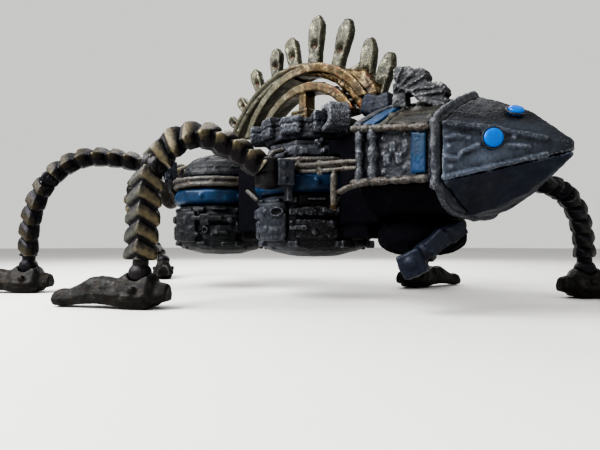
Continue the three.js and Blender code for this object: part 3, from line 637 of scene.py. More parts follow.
def ring_body(section, x):
    return Shape().skin(swept(section, (x, 0, 0), steps=120), closed=True)


def on_pod(x, azimuth, z, out, size, bevel=0.3):
    """A block standing on a pod's wall: size is outward, along the wall and up."""
    spot = polar(POD_RADIUS + out, azimuth, z, x)
    return block(size, bevel, placed(*spot, azimuth))


def pod_stud(x, azimuth, z, radius=0.9, height=1.0, at=POD_RADIUS - 0.5):
    return stud(polar(at, azimuth, z, x), polar(1, azimuth), radius, height)


def pod_slot(x, azimuth, z, half_width, half_height, radius=0.45):
    """An oval rim round a slot in a pod's wall."""
    path = []
    for a in (*around(24), tau):
        turn = azimuth + degrees(half_width * cos(a) / POD_RADIUS)
        path.append(polar(POD_RADIUS + 0.05, turn, z + half_height * sin(a), x))
    return tube(path, radius, 0.5, 10)


# Fittings on a pod's wall as [azimuth, height, width, tall]; a width alone is a stud's radius.
FRONT_FITTINGS = [
    [-102, 24, 3.4, 2.8], [-95, 24.2, 0.8], [-61.5, 24, 4.0, 1.7], [-53, 24, 3.6, 2.1], [-47, 24.2, 1.0],
    [-31, 20.7, 1.1], [-35, 24.2, 3.2, 1.5], [-26, 24.2, 0.8], [-60, 19.6, 5.0, 1.2], [-46, 18.4, 0.9],
    [-100, 19.4, 4.4, 1.3], [-84, 19, 3.2, 1.2], [-14, 23, 3, 2.4], [-16, 15.2, 4.6, 2.2], [-66, 21, 0.7],
]
REAR_FITTINGS = [
    [-54, 23.8, 3.4, 4.0], [-26, 23.4, 1.1], [-64, 24.2, 3.6, 1.5], [-42, 24.2, 4.2, 1.6],
    [-84, 23.6, 4.4, 2.0], [-88, 19.2, 3.2, 1.4], [-36, 19.4, 4.4, 1.2], [-16, 21, 3, 3.2],
    [-46, 18.6, 0.8], [-64, 18.6, 0.9], [-72, 20.8, 0.7], [-30, 15.4, 4.0, 1.4],
]
# Slots in a pod's wall as [azimuth, height, half-width, half-height].
FRONT_SLOTS = [[-80.5, 24.1, 2.0, 0.95]]
REAR_SLOTS = [[-54, 20.2, 0.8, 0.8]]
PANELS = 8
# Sections of the pods' panels and of their blue bands as [radius, height].
LOWER_PANEL = [[15.6, 16.6], [17, 16.6], [17.6, 17.2], [17.6, 21.6], [17.2, 22.1], [15.6, 22.1]]
BELT_PANEL = [[15.6, 22.8], [17.8, 22.8], [18.1, 23.1], [18.1, 25.1], [17.8, 25.4], [15.6, 25.4]]
PROUD_PANEL = [[15.6, 16.2], [17.8, 16.2], [18.25, 16.8], [18.25, 26.2], [17.8, 26.8], [15.6, 26.8]]
BAND = [[11.8, 29.3], [16.4, 29.3], [16.9, 29.9], [17.4, 30.3], [17.4, 33.7], [16.9, 34.1], [16.4, 34.7],
        [11.8, 34.7]]


def pod_shell(x, first, fittings, slots):
    """A domed bottom, a wall of eight granular panels with its fittings, and a shoulder."""
    centre = (x, 0, 0)
    shape = Shape(turned(
        [[0.02, POD_BOTTOM], [7, POD_BOTTOM + 0.3], [13, POD_BOTTOM + 1.8], [15.6, 14.5],
         [16.4, WALL_BOTTOM], [16.5, 16.4], [16.5, 25.8], [16, 26.2], [16, 27.6], [15.8, 28.4],
         [15.4, SHOULDER_TOP], [0.02, SHOULDER_TOP]], centre, segments=96))
    for k in range(PANELS):
        middle = first + 360 / PANELS * k
        parts = [(LOWER_PANEL, 19.5, 20), (BELT_PANEL, 21, 20)] if k % 4 else [(PROUD_PANEL, 17, 18)]
        for section, half, steps in parts:
            shape.skin(swept(section, centre, start=middle - half, end=middle + half, steps=steps, ends=0.8))
        shape.skin(on_pod(x, middle + 22.5, 27.2, -1.6, (1.6, 2.6, 1.7)))
        shape.skin(on_pod(x, middle, 27.4, -1.9, (1.2, 5, 0.9)))
        shape.skin(pod_stud(x, middle - 9, 14.2, 0.7, 0.7, 14.9))
        shape.skin(on_pod(x, middle + 22.5, 15.4, -1.7, (1.8, 3.0, 1.6)))
    for side in (1, -1):
        for azimuth, z, width, *tall in fittings:
            spot = side * azimuth
            shape.skin(
                on_pod(x, spot, z, -0.3, (1.5, width, tall[0])) if tall else pod_stud(x, spot, z, width))
        for azimuth, z, half_width, half_height in slots:
            shape.skin(pod_slot(x, side * azimuth, z, half_width, half_height))
    return shape


def in_slots(x, slots):
    """How deep the pod's wall is sunk inside its slots."""
    def depth(p):
        azimuth = degrees(atan2(p.y, p.x - x))
        deepest = 0
        for middle, z, half_width, half_height in slots:
            across = radians(abs(azimuth) - abs(middle)) * POD_RADIUS / half_width
            up = (p.z - z) / half_height
            deepest = max(deepest, 0.7 * max(0, 1 - (across * across + up * up) ** 2))
        grit = 0.16 * noise.noise(p * 1.1) if 17 < p.z < 25.6 else 0
        return deepest + grit
    return depth


cast("front_pod_shell", pod_shell(0, -89, FRONT_FITTINGS, FRONT_SLOTS), "hull_paint", FRONT, 0.3,
     dent=in_slots(0, FRONT_SLOTS))
cast("rear_pod_shell", pod_shell(REAR_POD_X, -83, REAR_FITTINGS, REAR_SLOTS), "hull_paint", HULL_SHADED_REAR, 0.33,
     dent=in_slots(REAR_POD_X, REAR_SLOTS))

for x, name, start in ((0, "front", -44), (REAR_POD_X, "rear", -60)):
    band = ring_body(BAND, x)
    for k in range(PANELS):
        band.skin(pod_stud(x, start + 45 * k, 32, 1.0, 0.8, 17.3))
    cast(name + "_pod_band", band, "enamel_blue", ENAMEL, 0.36, lumps=0.16)

    core = [[12, BAND_TOP], [16.2, BAND_TOP], [16.6, 35.4], [16.6, 38.6], [16.2, PIPES_TOP], [12, PIPES_TOP]]
    pipes = ring_body(core, x)
    for z, reach, r in ((36.0, 17.2, 0.85), (38.0, 17.0, 0.75)):
        pipes.join(ring_body([[reach + r * cos(a), z + r * sin(a)] for a in around(12)], x))
    for k in range(12):
        heading = start + 14 + 30 * k
        pipes.skin(block((1.4, 1.5, 3.5), 0.3, placed(*polar(17.1, heading, 37, x), heading)))
    cast(name + "_pod_pipes", pipes, "trim_grey", TRIM, 0.3)


def octagon_face(azimuth, along, z, size, apothem=13.6):
    """A block on one of the upper body's eight faces, moved sideways along it."""
    spot = polar(apothem, azimuth, z) + polar(along, azimuth + 90)
    return block(size, 0.3, placed(*spot, azimuth))


upper = Shape([
    [polar(r, 22.5 + 45 * k, z) for k in range(8)]
    for r, z in ((14.2, 39.3), (14.6, 39.6), (14.8, 42.2), (14.6, 42.6), (13.8, 43), (13.8, 44.2))])
for face in range(0, 360, 45):
    upper.skin(octagon_face(face, 0, 40.9, (0.9, 8.2, 2.3)))
    upper.skin(octagon_face(face, -2.6, 40.9, (1.3, 1.6, 1.6)))
    upper.skin(stud(polar(14, face, 40.9) + polar(2.4, face + 90), polar(1, face), 0.8, 0.9))
for along, z in ((-4.6, 43.4), (-3.2, 43.9), (-3.9, 42.6)):
    upper.skin(stud(polar(13.4, -45, z) + polar(along + 5, 45), polar(1, -45), 0.75, 1.4))
cast("front_pod_upper", upper, "hull_paint", PALE, 0.26, lumps=0.2, grain=0.1)

crown = Shape(turned([[0.02, 44.5], [14, 44.5], [14.4, 44.9], [14.4, 49.8], [14, 50.2], [0.02, 50.2]]))
for k in range(10):
    heading = 36 * k
    tall, reach = (CROWN_TOP, 16.3) if k % 2 else (CROWN_TOP - 0.9, 15.7)
    middle = polar((10.5 + reach) / 2, heading, (45.4 + tall) / 2)
    lip = polar((11.2 + reach) / 2, heading, 46.6)
    crown.skin(block((reach - 10.5, 6.5, tall - 45.4), 0.7, placed(*middle, heading)))
    crown.skin(block((reach - 10.9, 3.6, 1.2), 0.3, placed(*lip, heading)))
crown.skin(block((8.7, 7.2, 5.2), 0.8, placed(*polar(14.85, 222, 48.1), 222)))
crown.skin(block((8.9, 4.2, 1.2), 0.3, placed(*polar(14.95, 222, 46.6), 222)))


def weathered_blocks(p):
    """Courses and pits worn into the crown's blocks."""
    reach = hypot(p.x, p.y)
    if reach < 11 or p.z < 45.5:
        return 0
    return 0.3 * abs(noise.noise(p * 0.9)) + (0.25 if abs(p.z - 48.6) < 0.3 else 0)


cast("front_pod_crown", crown, "hull_paint", HULL, 0.3, grain=0.12, dent=weathered_blocks)

clamp_turn = placed(16.45, -9.5, 0, -30)
hook = [[-2, 45.2], [2, 45.2], [3.6, 45.9], [4.5, 47.2], [4.7, 49.2], [4.2, 50.9], [3, 52], [-1, 52.2],
        [-2, 51.6], [-1.8, 50.6], [0.8, 50.3], [2, 49.6], [2.4, 48.4], [2, 47.4], [1, 46.9], [-2, 46.8]]
clamp = Shape([[clamp_turn @ p for p in ring] for ring in slab(hook, -3, 3, 0.6)])
clamp.skin(block((3.4, 3, 5.4), 0.5, clamp_turn @ placed(0.2, 1.4, 48.6)))
clamp.skin(stud(clamp_turn @ Vector((-0.6, -2.8, 51.2)), (-0.5, -0.8, 0.4), 0.8, 0.9))
clamp.skin(stud(clamp_turn @ Vector((3.6, 0, 50.9)), (0.8, -0.3, 0.5), 0.8, 0.8))
cast("crown_hook_clamp", clamp, "hull_paint", CLAMP, 0.22, lumps=0.2, grain=0.12)

cap = Shape(turned([[0.02, 39.3], [14.2, 39.3], [14.6, 39.7], [14.6, 41], [13.6, 42.2], [13.9, 42.6],
                    [12.2, 44.7], [9, 47], [7.6, 47.2], [7.3, 47.9], [4.6, 48.6], [0.02, 48.9]],
                   (REAR_POD_X, 0, 0)))
for k in range(8):
    heading = 22.5 + 45 * k
    knob = heading + 22.5
    path = [polar(r, heading, z, REAR_POD_X) for r, z in ((13.6, 42.4), (11.2, 45.4), (8, 47.4))]
    cap.skin(tube(path, 0.55, 0.5, 10))
    cap.skin(stud(polar(13.4, knob, 42, REAR_POD_X), polar(1, knob, 0.8), 0.8, 0.8))
cast("rear_pod_cap", cap, "hull_paint", HULL_SHADED_REAR, 0.3, lumps=0.3, grain=0.12)

tail = polar(1, TAIL_HEADING)
mouth = polar(POD_RADIUS + 0.3, TAIL_HEADING, 36.4, REAR_POD_X)
flange = Shape(turned([[0.02, 0], [5, 0], [5, 2], [7, 4.5], [7.1, 5.3], [6.8, 5.8], [5.8, 5.8],
                       [4.5, 3.9], [0.02, 3.6]], mouth, tail))
for k in range(6):
    spin = Matrix.Rotation(radians(60 * k), 3, tail)
    spoke = [mouth + tail * 3.5, mouth + tail * 3.9 + spin @ Vector((0, 0, 2.4)),
             mouth + tail * 5.2 + spin @ Vector((0, 0, 5.6))]
    flange.skin(tube(spoke, 0.5, 0.5, 10))
cast("tail_flange", flange, "trim_grey", TRIM, 0.28)

# These frame parts take the near-black paint: painted shade.
for node in ("spine_frame", "pod_bridge", "neck_bulkhead"):
    recast(node, "hull_paint", INNER, voxel=0.5)

belly = Shape(turned([[0.02, 12.3], [5, 12.7], [8.6, 14.3], [10.3, 15.4], [10.6, 16], [10.6, 18.2],
                      [10.2, 18.8], [9, 20.2], [8.4, 20.6], [0.02, 20.6]], (BELLY_X, 0, 0)))
for k in range(10):
    heading = 36 * k - 60
    belly.skin(stud(polar(10.2, heading, 17.1, BELLY_X), polar(1, heading), 0.8, 0.8))
    path = [polar(r, heading + 18, z, BELLY_X) for r, z in ((9.9, 15.2), (7.6, 13.6), (4.6, 12.9))]
    belly.skin(tube(path, 0.45, 0.5, 10))
# The belly pod takes the near-black paint: painted shade under the hull.
cast("belly_pod", belly, "hull_paint", INNER, 0.3, lumps=0.2)
# A near-black block that fills the gap between the belly pod and the neck floor: painted shade.
mount = turned([[0.02, 20], [7.6, 20], [7.6, 22.4], [6, 23], [0.02, 23]], (BELLY_X, 0, 0))
piece("belly_shade_block", Shape(mount), "hull", "hull_paint", INNER, (), 0.4)


def around_belly(angle, reach, z):
    return polar(reach, angle, z, BELLY_X)


def strut_box(angle, reach, z, size, bevel, pitch):
    """A block against the belly pod, tipped along the strut's slope."""
    tip = Matrix.Rotation(radians(pitch), 4, "X")
    return block(size, bevel, placed(*around_belly(angle, reach, z), angle) @ tip)


recast("belly_strut", "hull_paint", KEEL,
       strut_box(-29, 13.6, 17.9, (3.6, 4.6, 3.6), 0.5, 32),
       strut_box(-47, 13.8, 15.6, (3.8, 5.2, 3.9), 0.5, 42),
       strut_box(-67, 14.2, 10.9, (5.0, 5.6, 5.6), 0.7, 24),
       stud(around_belly(-67, 16.6, 11), polar(1, -67), 1.5, 0.7),
       stud(around_belly(-40, 15.4, 17), polar(1, -40), 0.9, 0.6), voxel=0.26, lumps=0.3)


# ---- Neck and head --------------------------------------------------------------------------------------

def neck_along(x, start, end):
    return lerp(start, end, (x - NECK_BACK) / (COLLAR_BACK - NECK_BACK))


def side_top(x):
    return neck_along(x, 42.6, 39.6)


def side_bottom(x):
    return neck_along(x, 28.8, 27.8)


def roof_point(x, share, proud=0.0):
    """A point on the roof; share is 0 on the ridge and 1 at the foot of the left slope."""
    low, high = side_top(x), neck_along(x, 51.2, 48.9)
    rise = (1 - abs(share)) * (1 + SLOPE_BULGE * abs(share))
    return Vector((x, HALF_WIDTH * share, low + (high - low) * rise + proud))


def rivets(x, shares, radius=0.6):
    return [stud(roof_point(x, s * side, -0.1), (0, 0.5 * s * side, 1), radius, 0.6)
            for s in shares for side in (1, -1)]


# The neck's core and floor take the near-black paint: painted shade.
for node in ("neck_core", "neck_floor"):
    recast(node, "hull_paint", INNER, voxel=0.5)
recast("neck_rear_rib", "hull_paint", PALE, *rivets(30.4, (0.25, 0.6, 0.92)), voxel=0.3)
recast("neck_roof_band", "enamel_blue", ENAMEL, voxel=0.34, lumps=0.18)
ridges = [tube([roof_point(x, s * side, 0.05) for x in (36.4, 39, 42, 45, 48)], 0.45, 0.6, 10)
          for s in (0.3, 0.72) for side in (1, -1)]
recast("neck_roof", "roof_paint", ROOF, *ridges, *rivets(37.2, (0.12, 0.5, 0.86)),
       *rivets(47.6, (0.12, 0.5, 0.86)), voxel=0.34, lumps=0.35, grain=0.12,
       dent=lambda p: 0.5 * max(0, 1 - abs(p.x - 38.4) / 0.35))


def sleeve(middle, reach, radius):
    """A short thick ring on a bar, reaching the same way to both sides of its middle."""
    return tube([middle - reach, middle + reach], radius, 0.3)


def post(at, x, r):
    """A lumpy upright post on the neck's side."""
    low, high = side_bottom(x), side_top(x)
    path = [at(x, low + 0.5, 0.7), at(x, (low + high) / 2, 0.8), at(x, high - 0.7, 0.7)]
    return tube(path, lambda share: r * (1 + 0.16 * sin(17 * share)), 0.5)


for side, label in ((-1, "right"), (1, "left")):
    def at(x, z, out=0.0):
        return Vector((x, side * (17.4 + out), z))

    plate = [block((1.6, 0.9, 2.4), 0.2, placed(38.3 + 1.5 * k, side * 17.5, 33.5 + 2.6 * (k % 2)))
             for k in range(4)]
    posts = [post(at, x, r) for x, r in ((31.4, 0.9), (35.1, 1.0))]
    collars = [tube([at(x, z - 0.5, 0.8), at(x, z + 0.5, 0.8)], r, 0.4, 12)
               for x, r in ((31.4, 1.15), (35.1, 1.3)) for z in (31.2, 35.4, 39.4)]
    studs = [stud(at(x, z), (0, side, 0), 0.6, 0.6) for x in (37.4, 42.8) for z in (31, 34.8, 38.4)]
    recast("neck_side_" + label, "hull_paint", PALE, *plate, *posts, *collars, *studs, voxel=0.28,
           lumps=0.16, grain=0.14)
    recast("neck_side_band_" + label, "enamel_blue", ENAMEL, voxel=0.3, lumps=0.12)

    rails = Shape()
    for z, lumpy in ((lambda x: side_top(x) - 0.9, 0.1), (lambda x: side_bottom(x) + 0.5, 0.22)):
        line = [Vector((x, side * RAIL_Y, z(x))) for x in (NECK_BACK + 0.3, 36, 42, COLLAR_BACK - 0.5)]
        rails.skin(tube(line, lambda share, a=lumpy: 0.78 * (1 + a * sin(43 * share)), 0.35))
        for x in (33.4, 37.1, 43.4, 47.4):
            rails.skin(sleeve(Vector((x, side * RAIL_Y, z(x))), Vector((0.5, 0, 0)), 0.98))
    cast("neck_rail_" + label, rails, "trim_grey", TRIM, 0.2)

collar = cad_shape("collar_rib")
collar.points = [Vector((p.x, 0.935 * p.y, 35 + 0.95 * (p.z - 35))) for p in collar.points]
for side in (1, -1):
    arch = [(49.8, side * 17.9, 27.2), (49.8, side * 18.1, 33), (49.8, side * 18.0, 38.9)]
    arch += [roof_point(49.7, side * share, 0.5) for share in (0.9, 0.62, 0.33, 0)]
    collar.skin(tube(arch, lambda share: 0.74 * (1 + 0.08 * sin(60 * share)), 0.4, 14))
    sill = [(49.8, side * 17.7, 27.3), (49.8, side * 12.4, 22.6), (49.8, 0, 21)]
    collar.skin(tube(sill, 0.7, 0.5, 12))
    for z, r in ((27.4, 1.0), (39.1, 1.05)):
        collar.skin(sleeve(Vector((49.8, side * 18.0, z)), Vector((0, 0, 0.5)), r))
cast("collar_rib", collar, "trim_grey", PALE, 0.26)

pipework = Shape()
for side in (-1, 1):
    lines = [
        ([(9, 15.9, 36.2), (14, 17.9, 35.3), (20, 18.9, 34.8), (30.5, 18.5, 34.2)], 0.62),
        ([(9.6, 15.8, 34.6), (14.4, 17.5, 33.8), (20.4, 18.5, 33.2), (30.5, 18.3, 32.7)], 0.55),
        ([(3.4, 16, 41.2), (1.6, 18.1, 40.2), (1, 18.9, 38), (1.8, 19.1, 35.6)], 0.75),
        ([(24.1, 18.6, 24), (24.1, 18.7, 28), (24.1, 18.6, 31.5)], 0.95),
        ([(25.8, 18.4, 27.6), (29, 18.7, 28.4), (33, 18.7, 29)], 0.75),
        ([(-13, 15.4, 31.2), (-9, 17.0, 29.6), (-5, 18.2, 27.8)], 0.65),
    ]
    for points, radius in lines:
        path = [(x, side * y, z) for x, y, z in points]
        pipework.skin(tube(path, radius, 0.4, 12))
    pipework.skin(block((1.6, 1.2, 3.6), 0.3, placed(19.6, side * 18.6, 34)))
    pipework.skin(stud((-1, side * 18.2, 38.6), (0, side * 0.3, 1), 1.2, 1.6))
piece("side_pipework", pipework, "hull", "trim_grey", TRIM, (), 0.22)
beads = Shape()
for side in (-1, 1):
    for x, y, z in ((1.9, 18.9, 34.9), (24.1, 18.7, 24.2)):
        beads.skin(turned(ball(1, 10), (x, side * y, z), segments=20))
piece("pipe_end_beads", beads, "hull", "antique_gold", GOLD, (), 0.16, lumps=0.06)


def head_half(x):
    return float(np.interp(x, *zip(*HEAD)))


def head_line(points, side):
    return [Vector((x, side * head_half(x), z)) for x, z in points]


# Mouldings on the head's sides: points as (x, z), radius and step.
MOULDINGS = [
    ([(51.4, 39.2), (55.7, 38.4), (61.8, 37.1), (66, 35.9)], 0.62, 0.5),
    ([(51.4, 28.4), (55.7, 29.7), (61.8, 31.5), (66, 32.8)], 0.62, 0.5),
    ([(51.6, 32.6), (53.4, 32.2), (54, 33.4), (55.1, 34), (56.3, 34.7)], 0.55, 0.4),
    ([(60.2, 34.7), (62, 34.5), (63.6, 34.3)], 0.5, 0.4), ([(57.3, 37.3), (56.4, 38.1)], 0.48, 0.3),
    ([(58.2, 37.9), (58, 38.2)], 0.48, 0.3), ([(51.8, 36.2), (53.4, 36.6), (55, 36.2)], 0.5, 0.4),
]
moulding = []
for side in (1, -1):
    moulding += [tube(head_line(line, side), radius, step, 12) for line, radius, step in MOULDINGS]
    for spot in head_line([(52.4, 30.4), (52.2, 34.6), (61.4, 36.2)], side):
        moulding.append(stud(spot, (0.67, side * 0.74, 0), 0.5, 0.5))
recast("head_shell", "hull_paint", SHELL, *moulding, voxel=0.22, lumps=0.2, grain=0.08)
recast("head_keel", "hull_paint", KEEL, voxel=0.3, lumps=0.3)


def eye(centre, normal, radius):
    """A shallow enamelled lens."""
    return Shape(turned(
        [[0.02, -0.7], [radius, -0.7], [radius, 0.05], [0.95 * radius, 0.3], [0.84 * radius, 0.44],
         [0.6 * radius, 0.53], [0.3 * radius, 0.58], [0.02, 0.6]],
        centre, normal, 48))


def bezel(centre, normal, radius):
    section = [[radius + 0.12 + 0.26 * cos(a), 0.26 * sin(a)] for a in around(10)]
    return swept(section, centre, normal, normal.orthogonal(), steps=40)


EYES = (("eye_side", (58.3, 10.76, 36), (0.667, 0.745, 0), 2.05),
        ("eye_top", (59.9, 3.1, 42.25), (0.473, 0.44, 0.763), 1.75))
rims = Shape()
for name, (x, y, z), (nx, ny, nz), radius in EYES:
    for side, label in ((1, "left"), (-1, "right")):
        centre, normal = Vector((x, side * y, z)), Vector((nx, side * ny, nz)).normalized()
        lens = centre + normal * 0.75
        piece(f"{name}_{label}_lens", eye(lens, normal, radius - 0.15), "hull", "eye_blue", EYE,
              [f"{name}_{label}"], 0, relax=0, lumps=0, grain=0)
        rims.skin(bezel(lens - normal * 0.2, normal, radius - 0.05), closed=True)
piece("eye_rims", rims, "hull", "hull_paint", HULL, (), 0.14, lumps=0.05, grain=0.04)

# ---- Crest ----------------------------------------------------------------------------------------------

def spike(foot, tip, reach, half):
    """A round-headed paddle with a teardrop hollow, leaning from its foot on the ring to its tip."""
    base, point = on_circle(CREST, 34.5, foot), on_circle(CREST, reach, tip)
    along = (point - base).normalized()
    across = Vector((0, 1, 0)).cross(along)
    top = (point - base).length
    flare = 1.9 if foot < 40 else 0.85
    widths = [[0, flare], [0.15, 0.5 * flare + 0.42], [0.3, 0.84], [0.5, 0.95], [0.7, 1.02], [0.8, 1],
              [0.88, 0.8], [0.95, 0.62], [0.985, 0.44], [1, 0.18]]
    rings = []
    for i in range(49):
        share = i / 48
        width = (half * 0.95 + 0.5) * float(np.interp(share, *zip(*widths)))
        thick = 1.6 * float(np.interp(share, [0, 0.3, 0.6, 0.9, 0.97, 1], [1, 0.9, 1, 0.85, 0.6, 0.15]))
        ring = []
        for a in around(36):
            b = copysign(abs(cos(a)) ** 0.6, cos(a))
            y = copysign(abs(sin(a)) ** 0.6, sin(a))
            drop = exp(-((b / 0.42) ** 2)) * exp(-(((share - 0.44) * top / 1.3) ** 2))
            face = exp(-((b / 0.6) ** 4)) * exp(-(((share - 0.6) / 0.3) ** 4))
            ring.append(base + along * share * top + across * width * b
                        + Vector((0, thick * y * (1 - 0.16 * face - 0.6 * drop), 0)))
        rings.append(ring)
    return rings


# Half of the ring's section from its inner to its outer edge, as [radius, y].
RIM = [[32.4, 1.7], [32.9, 2.2], [34, 2.2], [34.35, 1.7], [34.9, 1.7], [35.2, 2.2], [36.1, 2.2], [36.5, 1.8],
       [36.5, 0.9], [36.15, 0.5]]
ring = Shape(swept(RIM + [[r, -y] for r, y in reversed(RIM)], (CREST[0], 0, CREST[1]), (0, -1, 0),
                   start=31, end=157, steps=252, ends=0.85))
web = []
for angle in range(30, 61):
    top = float(np.interp(angle, [30, 43, 46, 49, 54, 60], [40.6, 41, 40, 38.8, 37.6, 36.2]))
    side = [[33, 2.3], [36, 2.5], [top - 1.2, 2.2], [top - 0.3, 1.3], [top, 0]]
    web.append([on_circle(CREST, r, angle, y) for r, y in side + [[r, -y] for r, y in reversed(side[:-1])]])
ring.skin(web)
thorn = [on_circle(CREST, *spot) for spot in ((33, 47, -0.6), (31.4, 48, -1.2), (29.8, 52, -1.4))]
ring.skin(tube(thorn, lambda share: 0.9 * (1 - 0.8 * share), 0.4, 10))
for side in (1, -1):
    for angle in range(38, 156, 13):
        ring.skin(stud(on_circle(CREST, 33.4, angle, side * 2.1), (0, side, 0), 0.7, 0.5))


def ring_wear(p):
    """An eaten-away surface towards the nose."""
    angle = degrees(atan2(p.z - CREST[1], p.x - CREST[0]))
    return 0.4 * smoothstep(95, 60, angle) * abs(noise.noise(p * 0.45))


toe = Shape(block((9, 6.2, 4.8), 0.9, placed(24.6, 0, 52.1)))
toe.skin(block((4.4, 6.6, 5.6), 0.7, placed(22.6, 0, 52.4, 0, 20)))
piece("crest_toe_block", toe, "hull", "hull_paint", KEEL, (), 0.26, lumps=0.3, grain=0.1)
cast("crest_ring", ring, "antique_gold", GOLD, 0.24, relax=5, lumps=0.2, grain=0.07, dent=ring_wear)
blades = Shape()
for row in SPIKES:
    blades.skin(spike(*row))
root = [on_circle(CREST, r, angle) for r, angle in ((36.6, 51), (38.8, 48.6), (41.5, 47), (44, 48))]
blades.skin(tube(root, lambda share: 1.6 - 0.7 * share, 0.5, 14))
piece("crest_spikes", blades, "hull", "antique_gold", OLIVE, (), 0.2, relax=1, lumps=0.16, grain=0.06)


def hoop_groove(p):
    outside = hypot(p.x - HOOP[0], p.z - HOOP[1]) > 28.6
    return 0.45 * exp(-(p.y ** 2)) if outside else 0


recast("crest_hoop", "antique_gold", GOLD, voxel=0.27, lumps=0.2, dent=hoop_groove)
beads = [stud(on_circle(INNER_ARCH, 23.3, angle), on_circle((0, 0), 1, angle), 0.8, 0.5)
         for angle in (44, 58, 72, 108, 122, 136)]
recast("crest_inner_arch", "antique_gold", GOLD, *beads,
       *[block((5.4, 7.7, 0.8), 0.25, placed(-3, 0, z)) for z in (52.6, 54.2, 55.6)], voxel=0.25, lumps=0.16)

# Veins of the foliage plate as (x, z) points.
VEINS = [
    [(34.6, 52), (35.4, 54.6), (36.4, 56.6)], [(35.6, 52.2), (38, 54), (39.4, 54.6)],
    [(35.8, 51.6), (39.4, 52.4), (42.2, 53.2)], [(37.6, 50.6), (41, 50.8), (44.4, 50)],
    [(40, 49.2), (43.6, 48.9), (46.6, 48.6)], [(42.2, 47.6), (45, 46.8), (47.2, 45.8)],
    [(35.4, 52.6), (38.4, 50.6), (42, 47.6), (46.2, 45.6)],
]
leaf_veins = [tube([(x, y, z) for x, z in line], 0.5, 0.4, 10) for line in VEINS for y in (-8.5, -5.9)]
recast("foliage_plate", "foliage_pewter", PEWTER, *leaf_veins, voxel=0.2, lumps=0.3, grain=0.12, relax=3)

# ---- Legs -----------------------------------------------------------------------------------------------

class Leg:
    """A leg's centreline and the frame at any distance along it: point, sideways and outward directions."""

    def __init__(self, plan):
        heading = radians(plan["heading"])
        out = Vector((cos(heading), sin(heading), 0))
        hip = Vector((*plan["hip"], 0))
        self.curve = Curve([hip + out * r + Vector((0, 0, z)) for r, z in plan["line"]])
        self.length, self.scale, self.pitch = self.curve.length, plan["scale"], plan["pitch"]
        self.frames = []
        for k in range(int(self.length / LEG_STEP) + 2):
            s = min(k * LEG_STEP, self.length)
            along = self.curve.tangent(s)
            turned_by = smoothstep(0.2, 0.75, s / self.length) * radians(plan["twist"])
            side = Matrix.Rotation(-turned_by, 3, along) @ Vector((-out.y, out.x, 0))
            self.frames.append((self.curve.point(s), side, along.cross(side), along))
        self.knee = KNEE_SHARE * self.length

    def frame(self, s):
        return self.frames[min(max(round(s / LEG_STEP), 0), len(self.frames) - 1)]


def resampled(outline, count):
    """Points at equal steps round a closed outline, with its corners a little eased."""
    ends = np.array(outline + outline[:1])
    marks = np.concatenate([[0], np.cumsum(np.hypot(*np.diff(ends, axis=0).T))])
    steps = np.linspace(0, marks[-1], count, endpoint=False)
    points = np.stack([np.interp(steps, marks, ends[:, k]) for k in (0, 1)], axis=1)
    return (np.roll(points, 1, axis=0) + 2 * points + np.roll(points, -1, axis=0)) / 4


SECTION = resampled(VERTEBRA, 60)
RING_STEP = 0.26
# Tones that keep the brushed plate colours off the hinges.
WORN_HINGE = (0, -0.3)
# A plate's size and its brushed tone from its front edge to the next plate's, by the share of the pitch.
PLATE_RELIEF = np.array([[0, 0.88], [0.12, 0.97], [0.3, 1.03], [0.5, 1.055], [0.66, 1.04], [0.74, 0.93],
                         [0.82, 0.78], [0.93, 0.77], [1, 0.88]]).T
PLATE_TONE = np.array([[0, 0.15], [0.15, 0.45], [0.4, 0.8], [0.62, 1], [0.74, 0.7], [0.8, 0], [0.95, 0],
                       [1, 0.15]]).T


def clear_of_knee(n):
    """How far past the knee the plates start, so that they clear its drum at a height on the section."""
    return max(KNEE_GAP, sqrt(max(KNEE_CLEAR ** 2 - n * n, 0)))


def plates(leg, start, end, below_knee=False):
    """Overlapping chevron plates: each roofs the back, sweeps down both wings and overhangs the next one."""
    count = round((end - start) / RING_STEP)
    rings, tones = [], []
    for i in range(count + 1):
        ring = []
        for b, n in SECTION:
            first = leg.knee + clear_of_knee(n * leg.scale) if below_knee else start
            s = lerp(first, end, i / count)
            point, side, outward, _ = leg.frame(s)
            sweep = 2.2 * (abs(b) / VERTEBRA_HALF) ** 1.2
            phase = (s - start - sweep) / leg.pitch % 1
            back = smoothstep(-2.8, 0.4, n)
            relief = float(np.interp(phase, *PLATE_RELIEF))
            size = leg.scale * (1.04 - 0.16 * s / leg.length) * (1 + (relief - 1) * lerp(0.5, 1, back))
            size *= 0.86 if i in (0, count) else 1
            ring.append(point + side * b * size + outward * n * size)
            tones.append((b / VERTEBRA_HALF, back * float(np.interp(phase, *PLATE_TONE))))
        rings.append(ring)
    return Shape().skin(rings, tones=tones)


def dense(profile, step=0.3):
    """The same profile with points no further apart than a step."""
    fine = [profile[0]]
    for (r0, h0), (r1, h1) in zip(profile, profile[1:]):
        count = max(1, round(hypot(r1 - r0, h1 - h0) / step))
        fine += [[lerp(r0, r1, k / count), lerp(h0, h1, k / count)] for k in range(1, count + 1)]
    return fine


def drum(centre, axis, radius, half):
    """A hinge roller with a turned groove and a hub at both ends."""
    side = [[0.92 * radius, 0.25], [radius, 0.5], [radius, half - 0.5], [0.8 * radius, half],
            [0.4 * radius, half], [0.34 * radius, half + 0.3], [0.02, half + 0.3]]
    return turned(dense([[r, -h] for r, h in reversed(side)] + side), centre, axis, 64)


def foot_section(u):
    rows = list(zip(*FOOT))
    return [float(np.interp(u, rows[0], row)) for row in rows[1:]]


